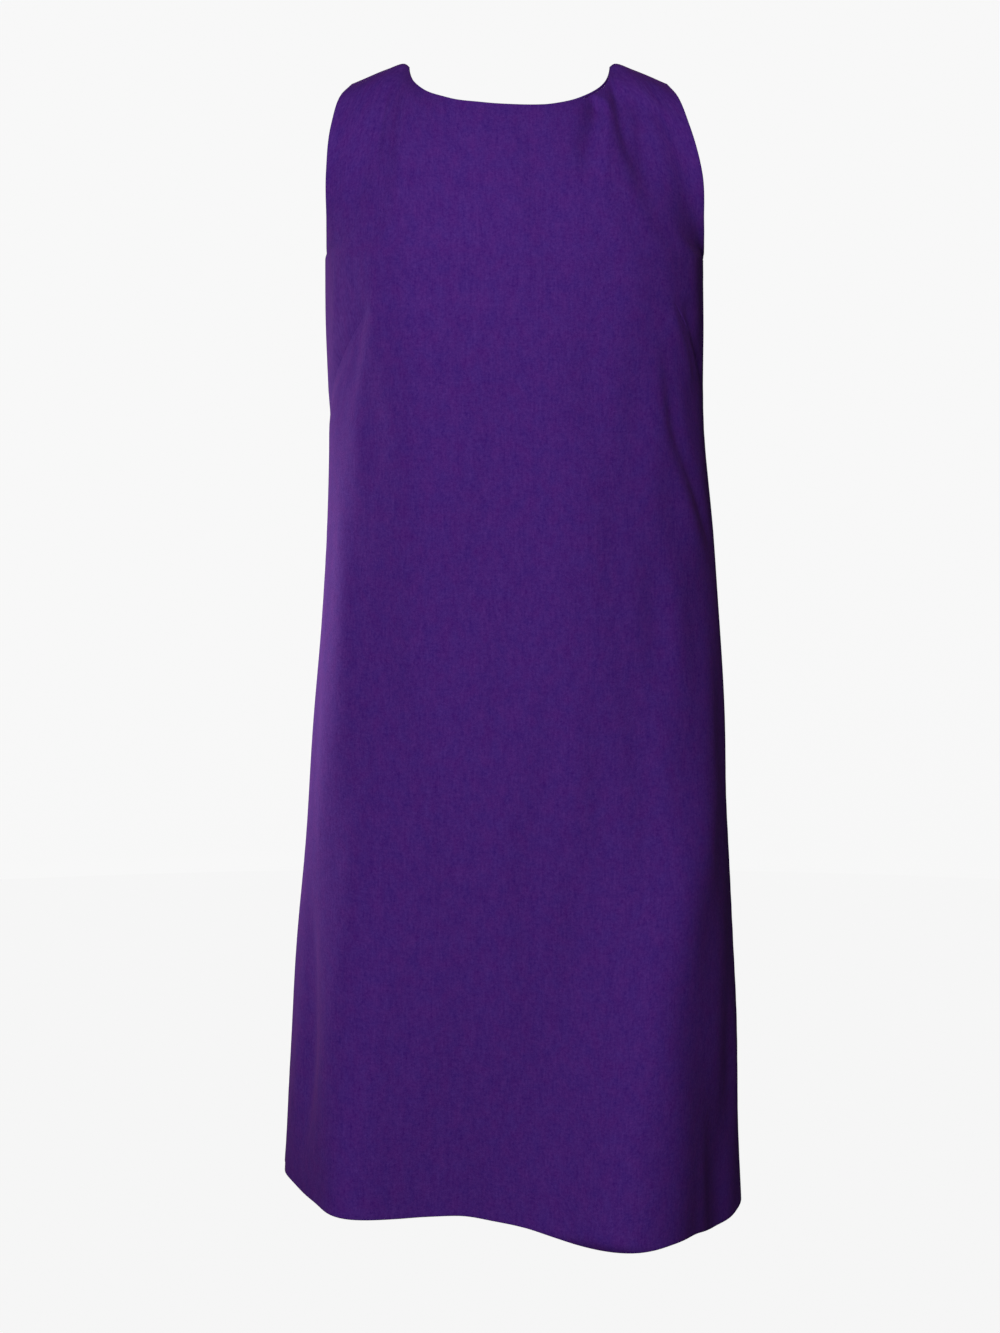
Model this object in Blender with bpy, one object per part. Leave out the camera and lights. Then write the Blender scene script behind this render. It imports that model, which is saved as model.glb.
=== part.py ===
"""Sleeveless shift dress, knee length, with bust darts and a concealed centre-back zip.

Each cloth piece is a thin wall on the hollow form that the dress takes when it is worn.
X points to the wearer's left, -Y to the front and +Z up. The origin is midway between the tops
of the two shoulder seams, close to the neck, which is the level the shoulders hold it at.
The front lies wholly at y < 0 and the backs at y > 0, so side and shoulder seams run in y = 0.
"""

import math

import bmesh
import bpy
import numpy as np
from mathutils import Matrix, Vector

# ---------------------------------------------------------------- sizes, in metres
WALL = 0.002  # cloth together with its turned edges
SEAM_GAP = 0.0003  # between two pieces that are sewn or lie together
FRONT, BACK = -1, 1  # the side of y = 0 on which a panel lies

UNDERARM_Z = -0.1555
HEM_Z = -0.915  # level at which the section table ends

# Level sections of the hanging cloth: half widths to each side, depths, and how square it is.
SECTION_COLUMNS = ("z", "left", "right", "front", "back", "power")
SECTIONS = (
    (HEM_Z, 0.1872, 0.1906, 0.1290, 0.1340, 2.30),
    (-0.860, 0.1832, 0.1894, 0.1265, 0.1310, 2.30),
    (-0.780, 0.1764, 0.1888, 0.1235, 0.1265, 2.30),
    (-0.680, 0.1690, 0.1836, 0.1190, 0.1205, 2.30),
    (-0.580, 0.1624, 0.1778, 0.1155, 0.1145, 2.30),
    (-0.480, 0.1552, 0.1732, 0.1135, 0.1065, 2.30),
    (-0.380, 0.1484, 0.1656, 0.1145, 0.1010, 2.30),
    (-0.285, 0.1450, 0.1578, 0.1175, 0.1035, 2.35),
    (-0.205, 0.1468, 0.1568, 0.1190, 0.1085, 2.40),
    (UNDERARM_Z, 0.1470, 0.1565, 0.1155, 0.1070, 2.40),
)

# The neck: half width and height where the shoulder seams end, then each side's reach and drop
# at the middle and how far its lowest point lies to the wearer's left.
NECK_HALF, NECK_END_Z = 0.0825, -0.0030
NECK_COLUMNS = ("reach", "drop", "lean", "plan_power", "drop_power")
NECKS = {
    FRONT: (0.0680, 0.0362, 0.0144, 2.2, 2.35),
    BACK: (0.0640, 0.0280, 0.0000, 2.2, 2.40),
}
SHOULDER_OUT, SHOULDER_Z = 0.1272, -0.0163  # outer end of each shoulder seam

# Each shoulder seam rises from its outer end to its top and turns over into the neck.
SEAM_COLUMNS = ("share", "x", "z")
SHOULDER_SEAM = (
    (0.00, SHOULDER_OUT, SHOULDER_Z),
    (0.55, 0.0985, -0.0045),
    (0.85, 0.0862, -0.0001),
    (1.00, NECK_HALF, NECK_END_Z),
)

# Armhole edges from the underarm, up 0, to the shoulder, up 1.
ARMHOLE_COLUMNS = ("up", "left", "right", "front", "back", "z")
ARMHOLES = (
    (0.00, 0.1470, 0.1565, 0.0000, 0.0000, UNDERARM_Z),
    (0.15, 0.1463, 0.1559, 0.0250, 0.0230, -0.1495),
    (0.35, 0.1455, 0.1545, 0.0430, 0.0410, -0.1250),
    (0.60, 0.1452, 0.1522, 0.0470, 0.0470, -0.0870),
    (0.80, 0.1415, 0.1425, 0.0370, 0.0390, -0.0500),
    (0.92, 0.1350, 0.1340, 0.0195, 0.0215, -0.0262),
    (1.00, SHOULDER_OUT, SHOULDER_OUT, 0.0000, 0.0000, SHOULDER_Z),
)
BACK_ARMHOLE_IN = 0.0050  # the back armholes are cut this much narrower
ARMHOLE_EASE = 0.60  # share of the panel's width over which the armhole's shape fades

# How the cloth arrives at the top edge: along y and along z, on the shoulders and at mid neck.
ARRIVE_SHOULDER = (0.150, 0.055)
ARRIVE_NECK = (0.060, 0.105)
NECK_SPREAD = 3  # how suddenly the shoulders' way of arriving gives place to the neck's
CHORD_KEPT = 0.6  # share of the way across from the underarm to the top edge that it keeps
LEAVE_STEP = 0.010  # how far below the underarm the cloth's slope is taken

# The hem's height by the share of the way round, from the wearer's right side seam (0)
# over the centre front (0.5) and the left side seam (1) to the centre back (1.5) and round.
HEM_COLUMNS = ("turn", "z")
HEM_LINE = (
    (0.00, -0.9000),
    (0.08, -0.9004),
    (0.14, -0.9030),
    (0.20, -0.9040),
    (0.25, -0.9090),
    (0.30, -0.9118),
    (0.45, -0.9105),
    (0.60, -0.9255),
    (0.68, -0.9260),
    (0.76, -0.9242),
    (0.82, -0.9272),
    (0.88, -0.9265),
    (1.00, -0.9200),
    (1.25, -0.9180),
    (1.50, -0.9160),
    (1.75, -0.9090),
    (2.00, -0.9000),
)

# Folds that fall from the hips to the hem: place across the panel at the start and at the hem
# (0 to 1 from the wearer's right), start level, depth at the hem (minus: hollow) and width.
FLUTE_COLUMNS = ("side", "start_at", "hem_at", "start_z", "depth", "width")
FLUTES = (
    (FRONT, 0.16, 0.240, -0.50, 0.030, 0.070),
    (FRONT, 0.38, 0.400, -0.55, -0.006, 0.070),
    (FRONT, 0.84, 0.685, -0.42, 0.052, 0.110),
    (BACK, 0.22, 0.250, -0.56, 0.016, 0.070),
    (BACK, 0.42, 0.390, -0.60, -0.006, 0.070),
    (BACK, 0.70, 0.740, -0.50, 0.020, 0.080),
)
FLUTE_GROWTH = 1.5

# Bust darts: level at the side seam, and place across the front and level at the tip.
DART_COLUMNS = ("side_at", "side_z", "tip_at", "tip_z")
DARTS = (
    (0.0, -0.296, 0.225, -0.192),
    (1.0, -0.288, 0.800, -0.188),
)
DART_DEPTH, DART_WIDTH = 0.0026, 0.0075
DART_START = 0.12  # share of a dart over which it deepens from the side seam

# Grid of each side: columns across, of which some lie on each shoulder seam, and level rows.
COLUMNS, SHOULDER_COLUMNS = 34, 5
SEAM_SHARE = SHOULDER_COLUMNS / COLUMNS
SKIRT_ROWS = (-0.915, -0.880, -0.845, -0.810, -0.775, -0.740, -0.705, -0.670, -0.635, -0.600)
WAIST_ROWS = (-0.565, -0.530, -0.495, -0.460, -0.425, -0.390, -0.355, -0.320)
BANDS = ("skirt", "waist", "bodice")  # each cut piece is solid in three bands, parted at
HIP_Z = -0.495  # this level and at the underarm
BUST_ROWS = (-0.292, -0.274, -0.262, -0.250, -0.238, -0.226, -0.214, -0.202, -0.190, -0.174)
BACK_WAIST_ROWS = (-0.285, -0.250, -0.215, -0.184)
FRONT_RISE = (0.00, 0.05, 0.12, 0.20, 0.30, 0.40, 0.50, 0.60, 0.70, 0.80, 0.90, 1.00)
BACK_RISE_Z = (-0.149, -0.136, -0.118, -0.100, -0.083, -0.068)  # on the centre-back line
RING_SAMPLES = 721

# Concealed zip, sewn inside the centre-back seam, with its closed slider near the neck.
ZIP_END_Z = -0.530
TAPE_THICK, COIL_THICK = 0.0010, 0.0022
COIL_HALF = 0.16  # across, in column widths, as in the next line
TAPE_PROFILE = (-0.92, -0.38, -COIL_HALF, COIL_HALF, 0.38, 0.92)
SLIDER_Z = -0.0465
SLIDER_LONG, SLIDER_WIDE, SLIDER_THICK = 0.0120, 0.0064, 0.0024
CROWN_WIDE, CROWN_LONG, CROWN_HIGH, CROWN_CORNER = 0.0012, 0.0052, 0.0036, 0.0012
EYE_LOW, EYE_LONG, EYE_HIGH, EYE_CORNER = 0.0009, 0.0028, 0.0018, 0.0004
SLOT_HALF = 0.0010  # half width of the seam's opening round the crown
SLOT_RAMP = 0.0010
NOTCH_LONG = 0.0078  # from the slider's middle down to where the closed coil begins
PULL_LONG, PULL_THICK = 0.0240, 0.0009
PULL_EYE_HALF, PULL_EYE_END = 0.0011, 0.0040
PULL_EYE_ARC = (0, 20, 40, 60, 80)  # degrees round the eye's lower end
PULL_TOP_HALF, PULL_WAIST_HALF, PULL_FOOT_HALF = 0.0021, 0.0016, 0.0028
PULL_SHOULDER, PULL_FOOT_LONG, PULL_FOOT_CORNER = 0.0030, 0.0040, 0.0013
PULL_BAR_HALF = 0.00045
PULL_REST = 0.0004  # clearance of the tab's foot from the cloth
PULL_REST_AT = 0.85  # share of the tab's length at which it comes that close
METAL_BEVEL = 0.0004
SHARP_ANGLE = 40  # degrees, above which an edge is drawn sharp

CLOTH_COLOUR = (0.052, 0.015, 0.142, 1.0)
TAPE_COLOUR = (0.045, 0.014, 0.120, 1.0)
METAL_COLOUR = (0.060, 0.018, 0.140, 1.0)


# ---------------------------------------------------------------- small tools
def column(columns, rows, name):
    """One named column of a table, as an array."""
    return np.array([row[columns.index(name)] for row in rows], float)


def smooth(xs, ys, x):
    """Value at x of a smooth curve through the points (xs, ys), with xs rising."""
    slopes = np.gradient(ys, xs)
    i = np.clip(np.searchsorted(xs, x) - 1, 0, len(xs) - 2)
    span = xs[i + 1] - xs[i]
    t = np.clip((x - xs[i]) / span, 0.0, 1.0)
    rise = (1 + 2 * t) * (1 - t) ** 2 * ys[i] + t * t * (3 - 2 * t) * ys[i + 1]
    return rise + span * t * (1 - t) * ((1 - t) * slopes[i] - t * slopes[i + 1])


def along(points, shares):
    """Points at the given shares of a polyline's length."""
    steps = np.linalg.norm(np.diff(points, axis=0), axis=1)
    run = np.concatenate(([0.0], np.cumsum(steps)))
    return np.stack([np.interp(shares, run / run[-1], points[:, k]) for k in range(3)], axis=1)


def unit(vectors):
    """The same vectors at length 1."""
    return vectors / np.linalg.norm(vectors, axis=-1, keepdims=True)


# ---------------------------------------------------------------- the worn form
def half_ring(z, side, shares):
    """The front or back half of the level section at z, from the wearer's right to left."""
    levels = column(SECTION_COLUMNS, SECTIONS, "z")
    depth_name = "front" if side == FRONT else "back"
    names = ("left", "right", depth_name, "power")
    left, right, depth, power = (
        smooth(levels, column(SECTION_COLUMNS, SECTIONS, name), z) for name in names
    )
    angle = np.linspace(0.0, math.pi, RING_SAMPLES)
    reach = (np.abs(np.cos(angle)) ** power + np.sin(angle) ** power) ** (-1.0 / power)
    x = (right - left) / 2 - (right + left) / 2 * np.cos(angle) * reach
    y = side * depth * np.sin(angle) * reach
    y[0] = y[-1] = 0.0
    return along(np.stack([x, y, np.full_like(x, z)], axis=1), shares)


def neckline(side, shares):
    """The neck edge of one side, from the wearer's right shoulder seam to the left one."""
    neck = dict(zip(NECK_COLUMNS, NECKS[side]))
    x = -NECK_HALF * np.cos(np.linspace(0.0, math.pi, RING_SAMPLES))
    inward = np.abs(x) / NECK_HALF
    y = side * neck["reach"] * (1 - inward ** neck["plan_power"]) ** (1 / neck["plan_power"])
    off = x - neck["lean"]
    inward = np.clip(np.abs(off) / (NECK_HALF - np.sign(off) * neck["lean"]), 0.0, 1.0)
    fall = (1 - inward ** neck["drop_power"]) ** (1 / neck["drop_power"])
    z = NECK_END_Z - (neck["drop"] + NECK_END_Z) * fall
    return along(np.stack([x, y, z], axis=1), shares)


def top_edge(side, shares):
    """Shoulder seam, neck edge and shoulder seam of one side, as one row of points."""
    seam = np.clip(np.minimum(shares, 1 - shares) / SEAM_SHARE, 0.0, 1.0)
    steps = column(SEAM_COLUMNS, SHOULDER_SEAM, "share")
    seam_x, seam_z = (
        smooth(steps, column(SEAM_COLUMNS, SHOULDER_SEAM, name), seam) for name in ("x", "z")
    )
    seam_points = np.stack([np.where(shares < 0.5, -seam_x, seam_x), 0 * seam, seam_z], axis=1)
    neck = neckline(side, np.clip((shares - SEAM_SHARE) / (1 - 2 * SEAM_SHARE), 0.0, 1.0))
    return np.where((seam < 1.0)[:, None], seam_points, neck)


def armhole_edge(side, up):
    """Right and left armhole edges of one side at each share of the way up."""
    steps = column(ARMHOLE_COLUMNS, ARMHOLES, "up")
    depth_name = "front" if side == FRONT else "back"
    left, right, depth, z = (
        smooth(steps, column(ARMHOLE_COLUMNS, ARMHOLES, name), up)
        for name in ("left", "right", depth_name, "z")
    )
    inset = BACK_ARMHOLE_IN * np.sin(math.pi * up) if side == BACK else 0 * up
    y = side * depth
    return np.stack([-left + inset, y, z], axis=1), np.stack([right - inset, y, z], axis=1)


def armhole_shares(side, depths, ring):
    """Shares of the underarm section at which it reaches each armhole depth, from one end."""
    half = len(ring) // 2
    return np.interp(depths, np.abs(ring[:half, 1]), np.linspace(0.0, 1.0, len(ring))[:half])


def bodice(side, rises, shares):
    """Grid of one side above the underarm, lofted from the underarm section to the top edge."""
    rises = np.asarray(rises, float)
    top = top_edge(side, shares)
    edges = armhole_edge(side, rises)
    fine = np.linspace(0.0, 1.0, RING_SAMPLES)
    ring = half_ring(UNDERARM_Z, side, fine)
    cuts = [
        armhole_shares(side, np.abs(edge[:, 1]), line)
        for edge, line in zip(edges, (ring, ring[::-1]))
    ]
    to_neck = np.clip(np.abs(top[:, 0]) / NECK_HALF, 0.0, 1.0)[:, None] ** NECK_SPREAD
    arrive_y, arrive_z = (
        to_neck * shoulder + (1 - to_neck) * neck
        for shoulder, neck in zip(ARRIVE_SHOULDER, ARRIVE_NECK)
    )
    rows = []
    for t, cut_right, cut_left, edge_right, edge_left in zip(rises, *cuts, *edges):
        places = cut_right + (1 - cut_right - cut_left) * shares
        low = half_ring(UNDERARM_Z, side, places)
        below = half_ring(UNDERARM_Z - LEAVE_STEP, side, places)
        leave = unit(low - below) * np.linalg.norm(top - low, axis=1, keepdims=True)
        arrive = np.hstack([CHORD_KEPT * (top - low)[:, :1], -side * arrive_y, arrive_z])
        row = (1 + 2 * t) * (1 - t) ** 2 * low + t * t * (3 - 2 * t) * top
        row = row + t * (1 - t) ** 2 * leave - t * t * (1 - t) * arrive
        pulls = (edge_right - row[0], edge_left - row[-1])
        for pull, away in zip(pulls, (shares, 1 - shares)):
            ease = np.clip(1 - away / ARMHOLE_EASE, 0.0, 1.0) ** 2
            row = row + ease[:, None] * pull
        rows.append(row)
    return np.array(rows)


def fluted(side, z, shares, ring):
    """A level section moved out and in by the folds that fall to the hem."""
    out = np.gradient(ring[:, :2], axis=0)
    out = unit(side * np.stack([-out[:, 1], out[:, 0]], axis=1))
    for fold in (dict(zip(FLUTE_COLUMNS, row)) for row in FLUTES):
        if fold["side"] != side or z >= fold["start_z"]:
            continue
        grown = (fold["start_z"] - z) / (fold["start_z"] - HEM_Z)
        place = fold["start_at"] + (fold["hem_at"] - fold["start_at"]) * grown
        shape = np.exp(-(((shares - place) / fold["width"]) ** 2))
        ends = np.sqrt(np.sin(math.pi * shares))
        move = fold["depth"] * grown**FLUTE_GROWTH * shape * ends
        ring = ring + np.hstack([out * move[:, None], np.zeros((len(ring), 1))])
    return ring


def skirt(side, levels, shares):
    """Grid of one side from the hem to the underarm, with its flutes and uneven hem."""
    turn = shares if side == FRONT else 2 - shares
    hem = smooth(column(HEM_COLUMNS, HEM_LINE, "turn"), column(HEM_COLUMNS, HEM_LINE, "z"), turn)
    rows = []
    for z in levels:
        ring = fluted(side, z, shares, half_ring(z, side, shares))
        ring[:, 2] = UNDERARM_Z + (z - UNDERARM_Z) * (hem - UNDERARM_Z) / (HEM_Z - UNDERARM_Z)
        rows.append(ring)
    return np.array(rows)


def form(side, levels, rises, shares):
    """Outer points of one side, hem row first, from the wearer's right to left."""
    return np.concatenate([skirt(side, levels, shares), bodice(side, rises, shares)])


def dart_hollows(grid, shares):
    """The front's points, pressed in along the two bust darts."""
    panel_width = np.sum(np.linalg.norm(np.diff(grid[0], axis=0), axis=1))
    out = outward(grid, FRONT)
    for dart in (dict(zip(DART_COLUMNS, row)) for row in DARTS):
        start = np.array([dart["side_at"] * panel_width, dart["side_z"]])
        way = np.array([dart["tip_at"] * panel_width, dart["tip_z"]]) - start
        spots = np.stack(np.broadcast_arrays(shares * panel_width, grid[:, :, 2]), axis=-1)
        run = np.clip((spots - start) @ way / (way @ way), 0.0, 1.0)
        gap = np.linalg.norm(spots - start - run[..., None] * way, axis=-1)
        fade = (1 - np.exp(-run / DART_START)) * np.sqrt(1 - run)
        grid = grid - out * (DART_DEPTH * fade * np.exp(-((gap / DART_WIDTH) ** 2)))[..., None]
    return grid


def outward(grid, side):
    """Unit normals of a grid of points, away from the wearer."""
    across, up = np.gradient(grid, axis=1), np.gradient(grid, axis=0)
    return -side * unit(np.cross(across, up))


def seam_normals(normals, edge, keep_out):
    """Normals along a seam, square to it and flat in the plane that both pieces share."""
    tangent = unit(np.gradient(edge, axis=0))
    flat = normals * (1 - np.eye(3)[keep_out])
    flat = flat - np.sum(flat * tangent, axis=1, keepdims=True) * tangent
    return unit(flat * (1 - np.eye(3)[keep_out]))


# ---------------------------------------------------------------- solids
def cell_solid(name, outer, inner, material, cells=None):
    """A closed wall between two grids of points, over all cells or the ones marked."""
    rows, cols = outer.shape[:2]
    cells = np.ones((rows - 1, cols - 1), bool) if cells is None else cells
    bm = bmesh.new()
    corner = {}

    def vertex(layer, r, c):
        if (layer, r, c) not in corner:
            corner[layer, r, c] = bm.verts.new((outer, inner)[layer][r, c])
        return corner[layer, r, c]

    def filled(r, c):
        return 0 <= r < rows - 1 and 0 <= c < cols - 1 and cells[r, c]

    for r, c in zip(*np.nonzero(cells)):
        around = ((r, c), (r, c + 1), (r + 1, c + 1), (r + 1, c))
        bm.faces.new([vertex(0, *spot) for spot in around])
        bm.faces.new([vertex(1, *spot) for spot in reversed(around)])
        beyond = ((r - 1, c), (r, c + 1), (r + 1, c), (r, c - 1))
        for a, b, neighbour in zip(around, around[1:] + around[:1], beyond):
            if not filled(*neighbour):
                bm.faces.new([vertex(0, *b), vertex(0, *a), vertex(1, *a), vertex(1, *b)])
    finish(name, bm, material)


def plate(name, outline, hole, thickness, material):
    """A flat plate with one hole; both outlines go round alike and have the same count."""
    bm = bmesh.new()
    offset = np.array(thickness) / 2
    loops = [
        [bm.verts.new(np.array(point) + offset * face) for point in loop]
        for face in (-1, 1)
        for loop in (outline, hole)
    ]
    back_out, back_in, front_out, front_in = loops
    count = len(outline)
    for i in range(count):
        j = (i + 1) % count
        for a, b in (
            (back_out, back_in),
            (back_in, front_in),
            (front_in, front_out),
            (front_out, back_out),
        ):
            bm.faces.new([a[i], a[j], b[j], b[i]])
    return finish(name, bm, material)


def finish(name, bm, material):
    """Turn a bmesh into a named, smooth-shaded object with its material."""
    bmesh.ops.recalc_face_normals(bm, faces=bm.faces)
    mesh = bpy.data.meshes.new(name)
    bm.to_mesh(mesh)
    bm.free()
    mesh.materials.append(material)
    mesh.shade_smooth()
    mesh.set_sharp_from_angle(angle=math.radians(SHARP_ANGLE))
    thing = bpy.data.objects.new(name, mesh)
    bpy.context.scene.collection.objects.link(thing)
    return thing


def make_material(name, colour, roughness, metallic=0.0):
    """A plain Principled material."""
    material = bpy.data.materials.new(name)
    material.use_nodes = True
    shader = material.node_tree.nodes["Principled BSDF"]
    shader.inputs["Base Color"].default_value = colour
    shader.inputs["Roughness"].default_value = roughness
    shader.inputs["Metallic"].default_value = metallic
    material.diffuse_color = colour
    return material


# ---------------------------------------------------------------- panels
def panel_points(side, levels, rises, darts=False):
    """Outer points and normals of one side, with its seams' normals shared by both sides."""
    shares = np.linspace(0.0, 1.0, COLUMNS + 1)
    grid = form(side, levels, rises, shares)
    if darts:
        grid = dart_hollows(grid, shares)
    normals = outward(grid, side)
    seam_rows = len(levels) + 1
    for spot in (0, -1):
        edge = grid[:seam_rows, spot]
        normals[:seam_rows, spot] = seam_normals(normals[:seam_rows, spot], edge, 1)
    for part in shoulder_parts():
        normals[-1, part] = seam_normals(normals[-1, part], grid[-1, part], 1)
    return grid, normals


def shoulder_parts():
    """The columns that end on the right shoulder seam, and on the left one."""
    return slice(0, SHOULDER_COLUMNS + 1), slice(-SHOULDER_COLUMNS - 1, None)


def side_and_shoulder_gap(points, side, seam_rows):
    """Half a seam's gap, taken off the side seams and the shoulder seams."""
    points = points.copy()
    for spot in (0, -1):
        points[:seam_rows, spot, 1] = side * SEAM_GAP / 2
    for part in shoulder_parts():
        points[-1, part, 1] = side * SEAM_GAP / 2
    return points


def make_bands(name, outer, inner, levels, cloth):
    """One cut piece as a wall in three bands, which lie a seam's gap apart."""
    ends = (0, levels.index(HIP_Z), len(levels), len(outer) - 1)
    for band, low, high in zip(BANDS, ends, ends[1:]):
        walls = [points[low : high + 1].copy() for points in (outer, inner)]
        for points in walls:
            if low > 0:
                points[0, :, 2] += SEAM_GAP / 2
            if high < len(outer) - 1:
                points[-1, :, 2] -= SEAM_GAP / 2
        cell_solid(f"{name}_{band}", *walls, cloth)


def make_front(cloth):
    """The front: one piece from side seam to side seam, with its two bust darts."""
    levels = SKIRT_ROWS + WAIST_ROWS + BUST_ROWS
    outer, normals = panel_points(FRONT, levels, FRONT_RISE, darts=True)
    inner = outer - WALL * normals
    seam_rows = len(levels) + 1
    outer, inner = (side_and_shoulder_gap(points, FRONT, seam_rows) for points in (outer, inner))
    make_bands("front", outer, inner, levels, cloth)


def back_rises():
    """Shares of the way up the back at which rows lie, closer together round the slider."""
    fine = np.linspace(0.0, 1.0, RING_SAMPLES)
    centre_z = bodice(BACK, fine, np.array([0.0, 0.5, 1.0]))[:, 1, 2]
    slot = CROWN_LONG / 2 + PULL_BAR_HALF
    around_slider = (-NOTCH_LONG, -slot - SLOT_RAMP, -slot, slot, slot + SLOT_RAMP)
    wanted = [*BACK_RISE_Z, *(SLIDER_Z + gap for gap in around_slider)]
    return (0.0, *np.interp(wanted, centre_z, fine), 1.0)


def make_backs(cloth):
    """The two backs, which meet at the centre seam and part round the zip's slider."""
    levels = SKIRT_ROWS + WAIST_ROWS + BACK_WAIST_ROWS
    outer, normals = panel_points(BACK, levels, back_rises())
    middle = COLUMNS // 2
    normals[:, middle] = seam_normals(normals[:, middle], outer[:, middle], 0)
    inner = outer - WALL * normals
    seam_rows = len(levels) + 1
    outer, inner = (side_and_shoulder_gap(points, BACK, seam_rows) for points in (outer, inner))
    centre_rows = (outer[:, middle].copy(), normals[:, middle].copy())
    half_gap = np.full(len(outer), SEAM_GAP / 2)
    slot_rows = np.abs(outer[:, middle, 2] - SLIDER_Z) < CROWN_LONG / 2 + SLOT_RAMP
    half_gap[slot_rows] = SLOT_HALF
    for name, part, way in (
        ("back_right", slice(0, middle + 1), -1),
        ("back_left", slice(middle, None), 1),
    ):
        walls = [points[:, part].copy() for points in (outer, inner)]
        for points in walls:
            points[:, -1 if way < 0 else 0, 0] += way * half_gap
        make_bands(name, *walls, levels, cloth)
    return inner, normals, centre_rows


# ---------------------------------------------------------------- zip
def make_tape(inner, normals, material):
    """Both tapes and the closed coil as one strip, laid on the backs' inner faces."""
    middle = COLUMNS // 2
    centre_z = inner[:, middle, 2]
    rows = np.nonzero((centre_z > ZIP_END_Z) & (centre_z < SLIDER_Z + SLIDER_LONG))[0]
    surface, lift = [], []
    for offset in TAPE_PROFILE:
        far = middle + (1 if offset > 0 else -1)
        share = abs(offset)
        surface.append(inner[rows, middle] * (1 - share) + inner[rows, far] * share)
        lift.append(normals[rows, middle] * (1 - share) + normals[rows, far] * share)
    surface, lift = np.stack(surface, axis=1), unit(np.stack(lift, axis=1))
    thick = np.where(np.abs(TAPE_PROFILE) <= COIL_HALF, COIL_THICK, TAPE_THICK)
    face = surface - SEAM_GAP * lift
    cells = np.ones((len(rows) - 1, len(TAPE_PROFILE) - 1), bool)
    under_slider = surface[1:, 2, 2] > SLIDER_Z - NOTCH_LONG + METAL_BEVEL
    cells[np.ix_(under_slider, (1, 2, 3))] = False
    cell_solid("zip_tape", face, face - thick[None, :, None] * lift, material, cells)


def seat(centre_rows, z):
    """Point on the centre-back line at height z, and the slope of the cloth there."""
    points, _ = centre_rows
    x, y = (np.interp(z, points[:, 2], points[:, k]) for k in (0, 1))
    y_low = np.interp(z - SLIDER_LONG / 2, points[:, 2], points[:, 1])
    y_high = np.interp(z + SLIDER_LONG / 2, points[:, 2], points[:, 1])
    return np.array([x, y, z]), math.atan2(y_low - y_high, SLIDER_LONG)


def mirrored(points):
    """A loop of (across, along) pairs, closed by its mirror image across the middle."""
    return points + [(-across, along) for across, along in reversed(points)]


def make_slider(place, slope, material):
    """The slider's body inside the cloth, with its crown through the seam."""
    frame = Matrix.Translation(place) @ Matrix.Rotation(slope, 4, "X")
    body_y = -(WALL + 2 * SEAM_GAP + SLIDER_THICK / 2)
    bm = bmesh.new()
    size = (SLIDER_WIDE, SLIDER_THICK, SLIDER_LONG)
    bmesh.ops.create_cube(bm, size=1.0, matrix=Matrix.Diagonal((*size, 1.0)))
    bmesh.ops.bevel(bm, geom=bm.edges[:], offset=METAL_BEVEL, segments=2, affect="EDGES")
    bmesh.ops.translate(bm, verts=bm.verts, vec=(0.0, body_y, 0.0))
    slider = finish("zip_slider", bm, material)
    half, reach, eye_top = CROWN_LONG / 2, EYE_LONG / 2, EYE_LOW + EYE_HIGH
    outer = [
        (half, body_y),
        (half, EYE_LOW),
        (half, CROWN_HIGH - CROWN_CORNER),
        (half - CROWN_CORNER, CROWN_HIGH),
    ]
    eye = [
        (reach - EYE_CORNER, EYE_LOW),
        (reach, EYE_LOW + EYE_CORNER),
        (reach, eye_top - EYE_CORNER),
        (reach - EYE_CORNER, eye_top),
    ]
    outline, hole = ([(0.0, y, z) for z, y in mirrored(loop)] for loop in (outer, eye))
    crown = plate("crown_guide", outline, hole, (CROWN_WIDE, 0.0, 0.0), material)
    crown.hide_render = True
    crown.display_type = "WIRE"
    for thing in (slider, crown):
        thing.matrix_world = frame
    union = slider.modifiers.new("crown", "BOOLEAN")
    union.operation = "UNION"
    union.object = crown
    return frame @ Vector((0.0, EYE_LOW + EYE_HIGH / 2, 0.0))


def make_pull(pivot, centre_rows, material):
    """The pull tab, hung in the crown's eye and lying down the back."""
    points, normals = centre_rows
    order = np.argsort(points[:, 2])
    low_z = pivot.z - PULL_LONG * PULL_REST_AT
    spot, lean = (
        np.array([np.interp(low_z, points[order, 2], rows[order, k]) for k in range(3)])
        for rows in (points, normals)
    )
    aim = spot + lean * (PULL_REST + PULL_THICK / 2) - np.array(pivot)
    outer = [
        (PULL_TOP_HALF, PULL_BAR_HALF),
        (PULL_TOP_HALF, -PULL_EYE_END),
        (PULL_WAIST_HALF, -PULL_EYE_END - PULL_SHOULDER),
        (PULL_FOOT_HALF, PULL_FOOT_LONG - PULL_LONG),
        (PULL_FOOT_HALF, PULL_FOOT_CORNER - PULL_LONG),
        (PULL_FOOT_HALF - PULL_FOOT_CORNER, -PULL_LONG),
    ]
    eye = [(PULL_EYE_HALF, -PULL_BAR_HALF)]
    for angle in np.radians(PULL_EYE_ARC):
        drop = PULL_EYE_END - PULL_EYE_HALF + PULL_EYE_HALF * math.sin(angle)
        eye.append((PULL_EYE_HALF * math.cos(angle), -drop))
    outline, hole = ([(x, 0.0, z) for x, z in mirrored(loop)] for loop in (outer, eye))
    pull = plate("zip_pull", outline, hole, (0.0, PULL_THICK, 0.0), material)
    pull.location = pivot
    pull.rotation_euler = (math.atan2(aim[1], -aim[2]), 0.0, 0.0)


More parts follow.
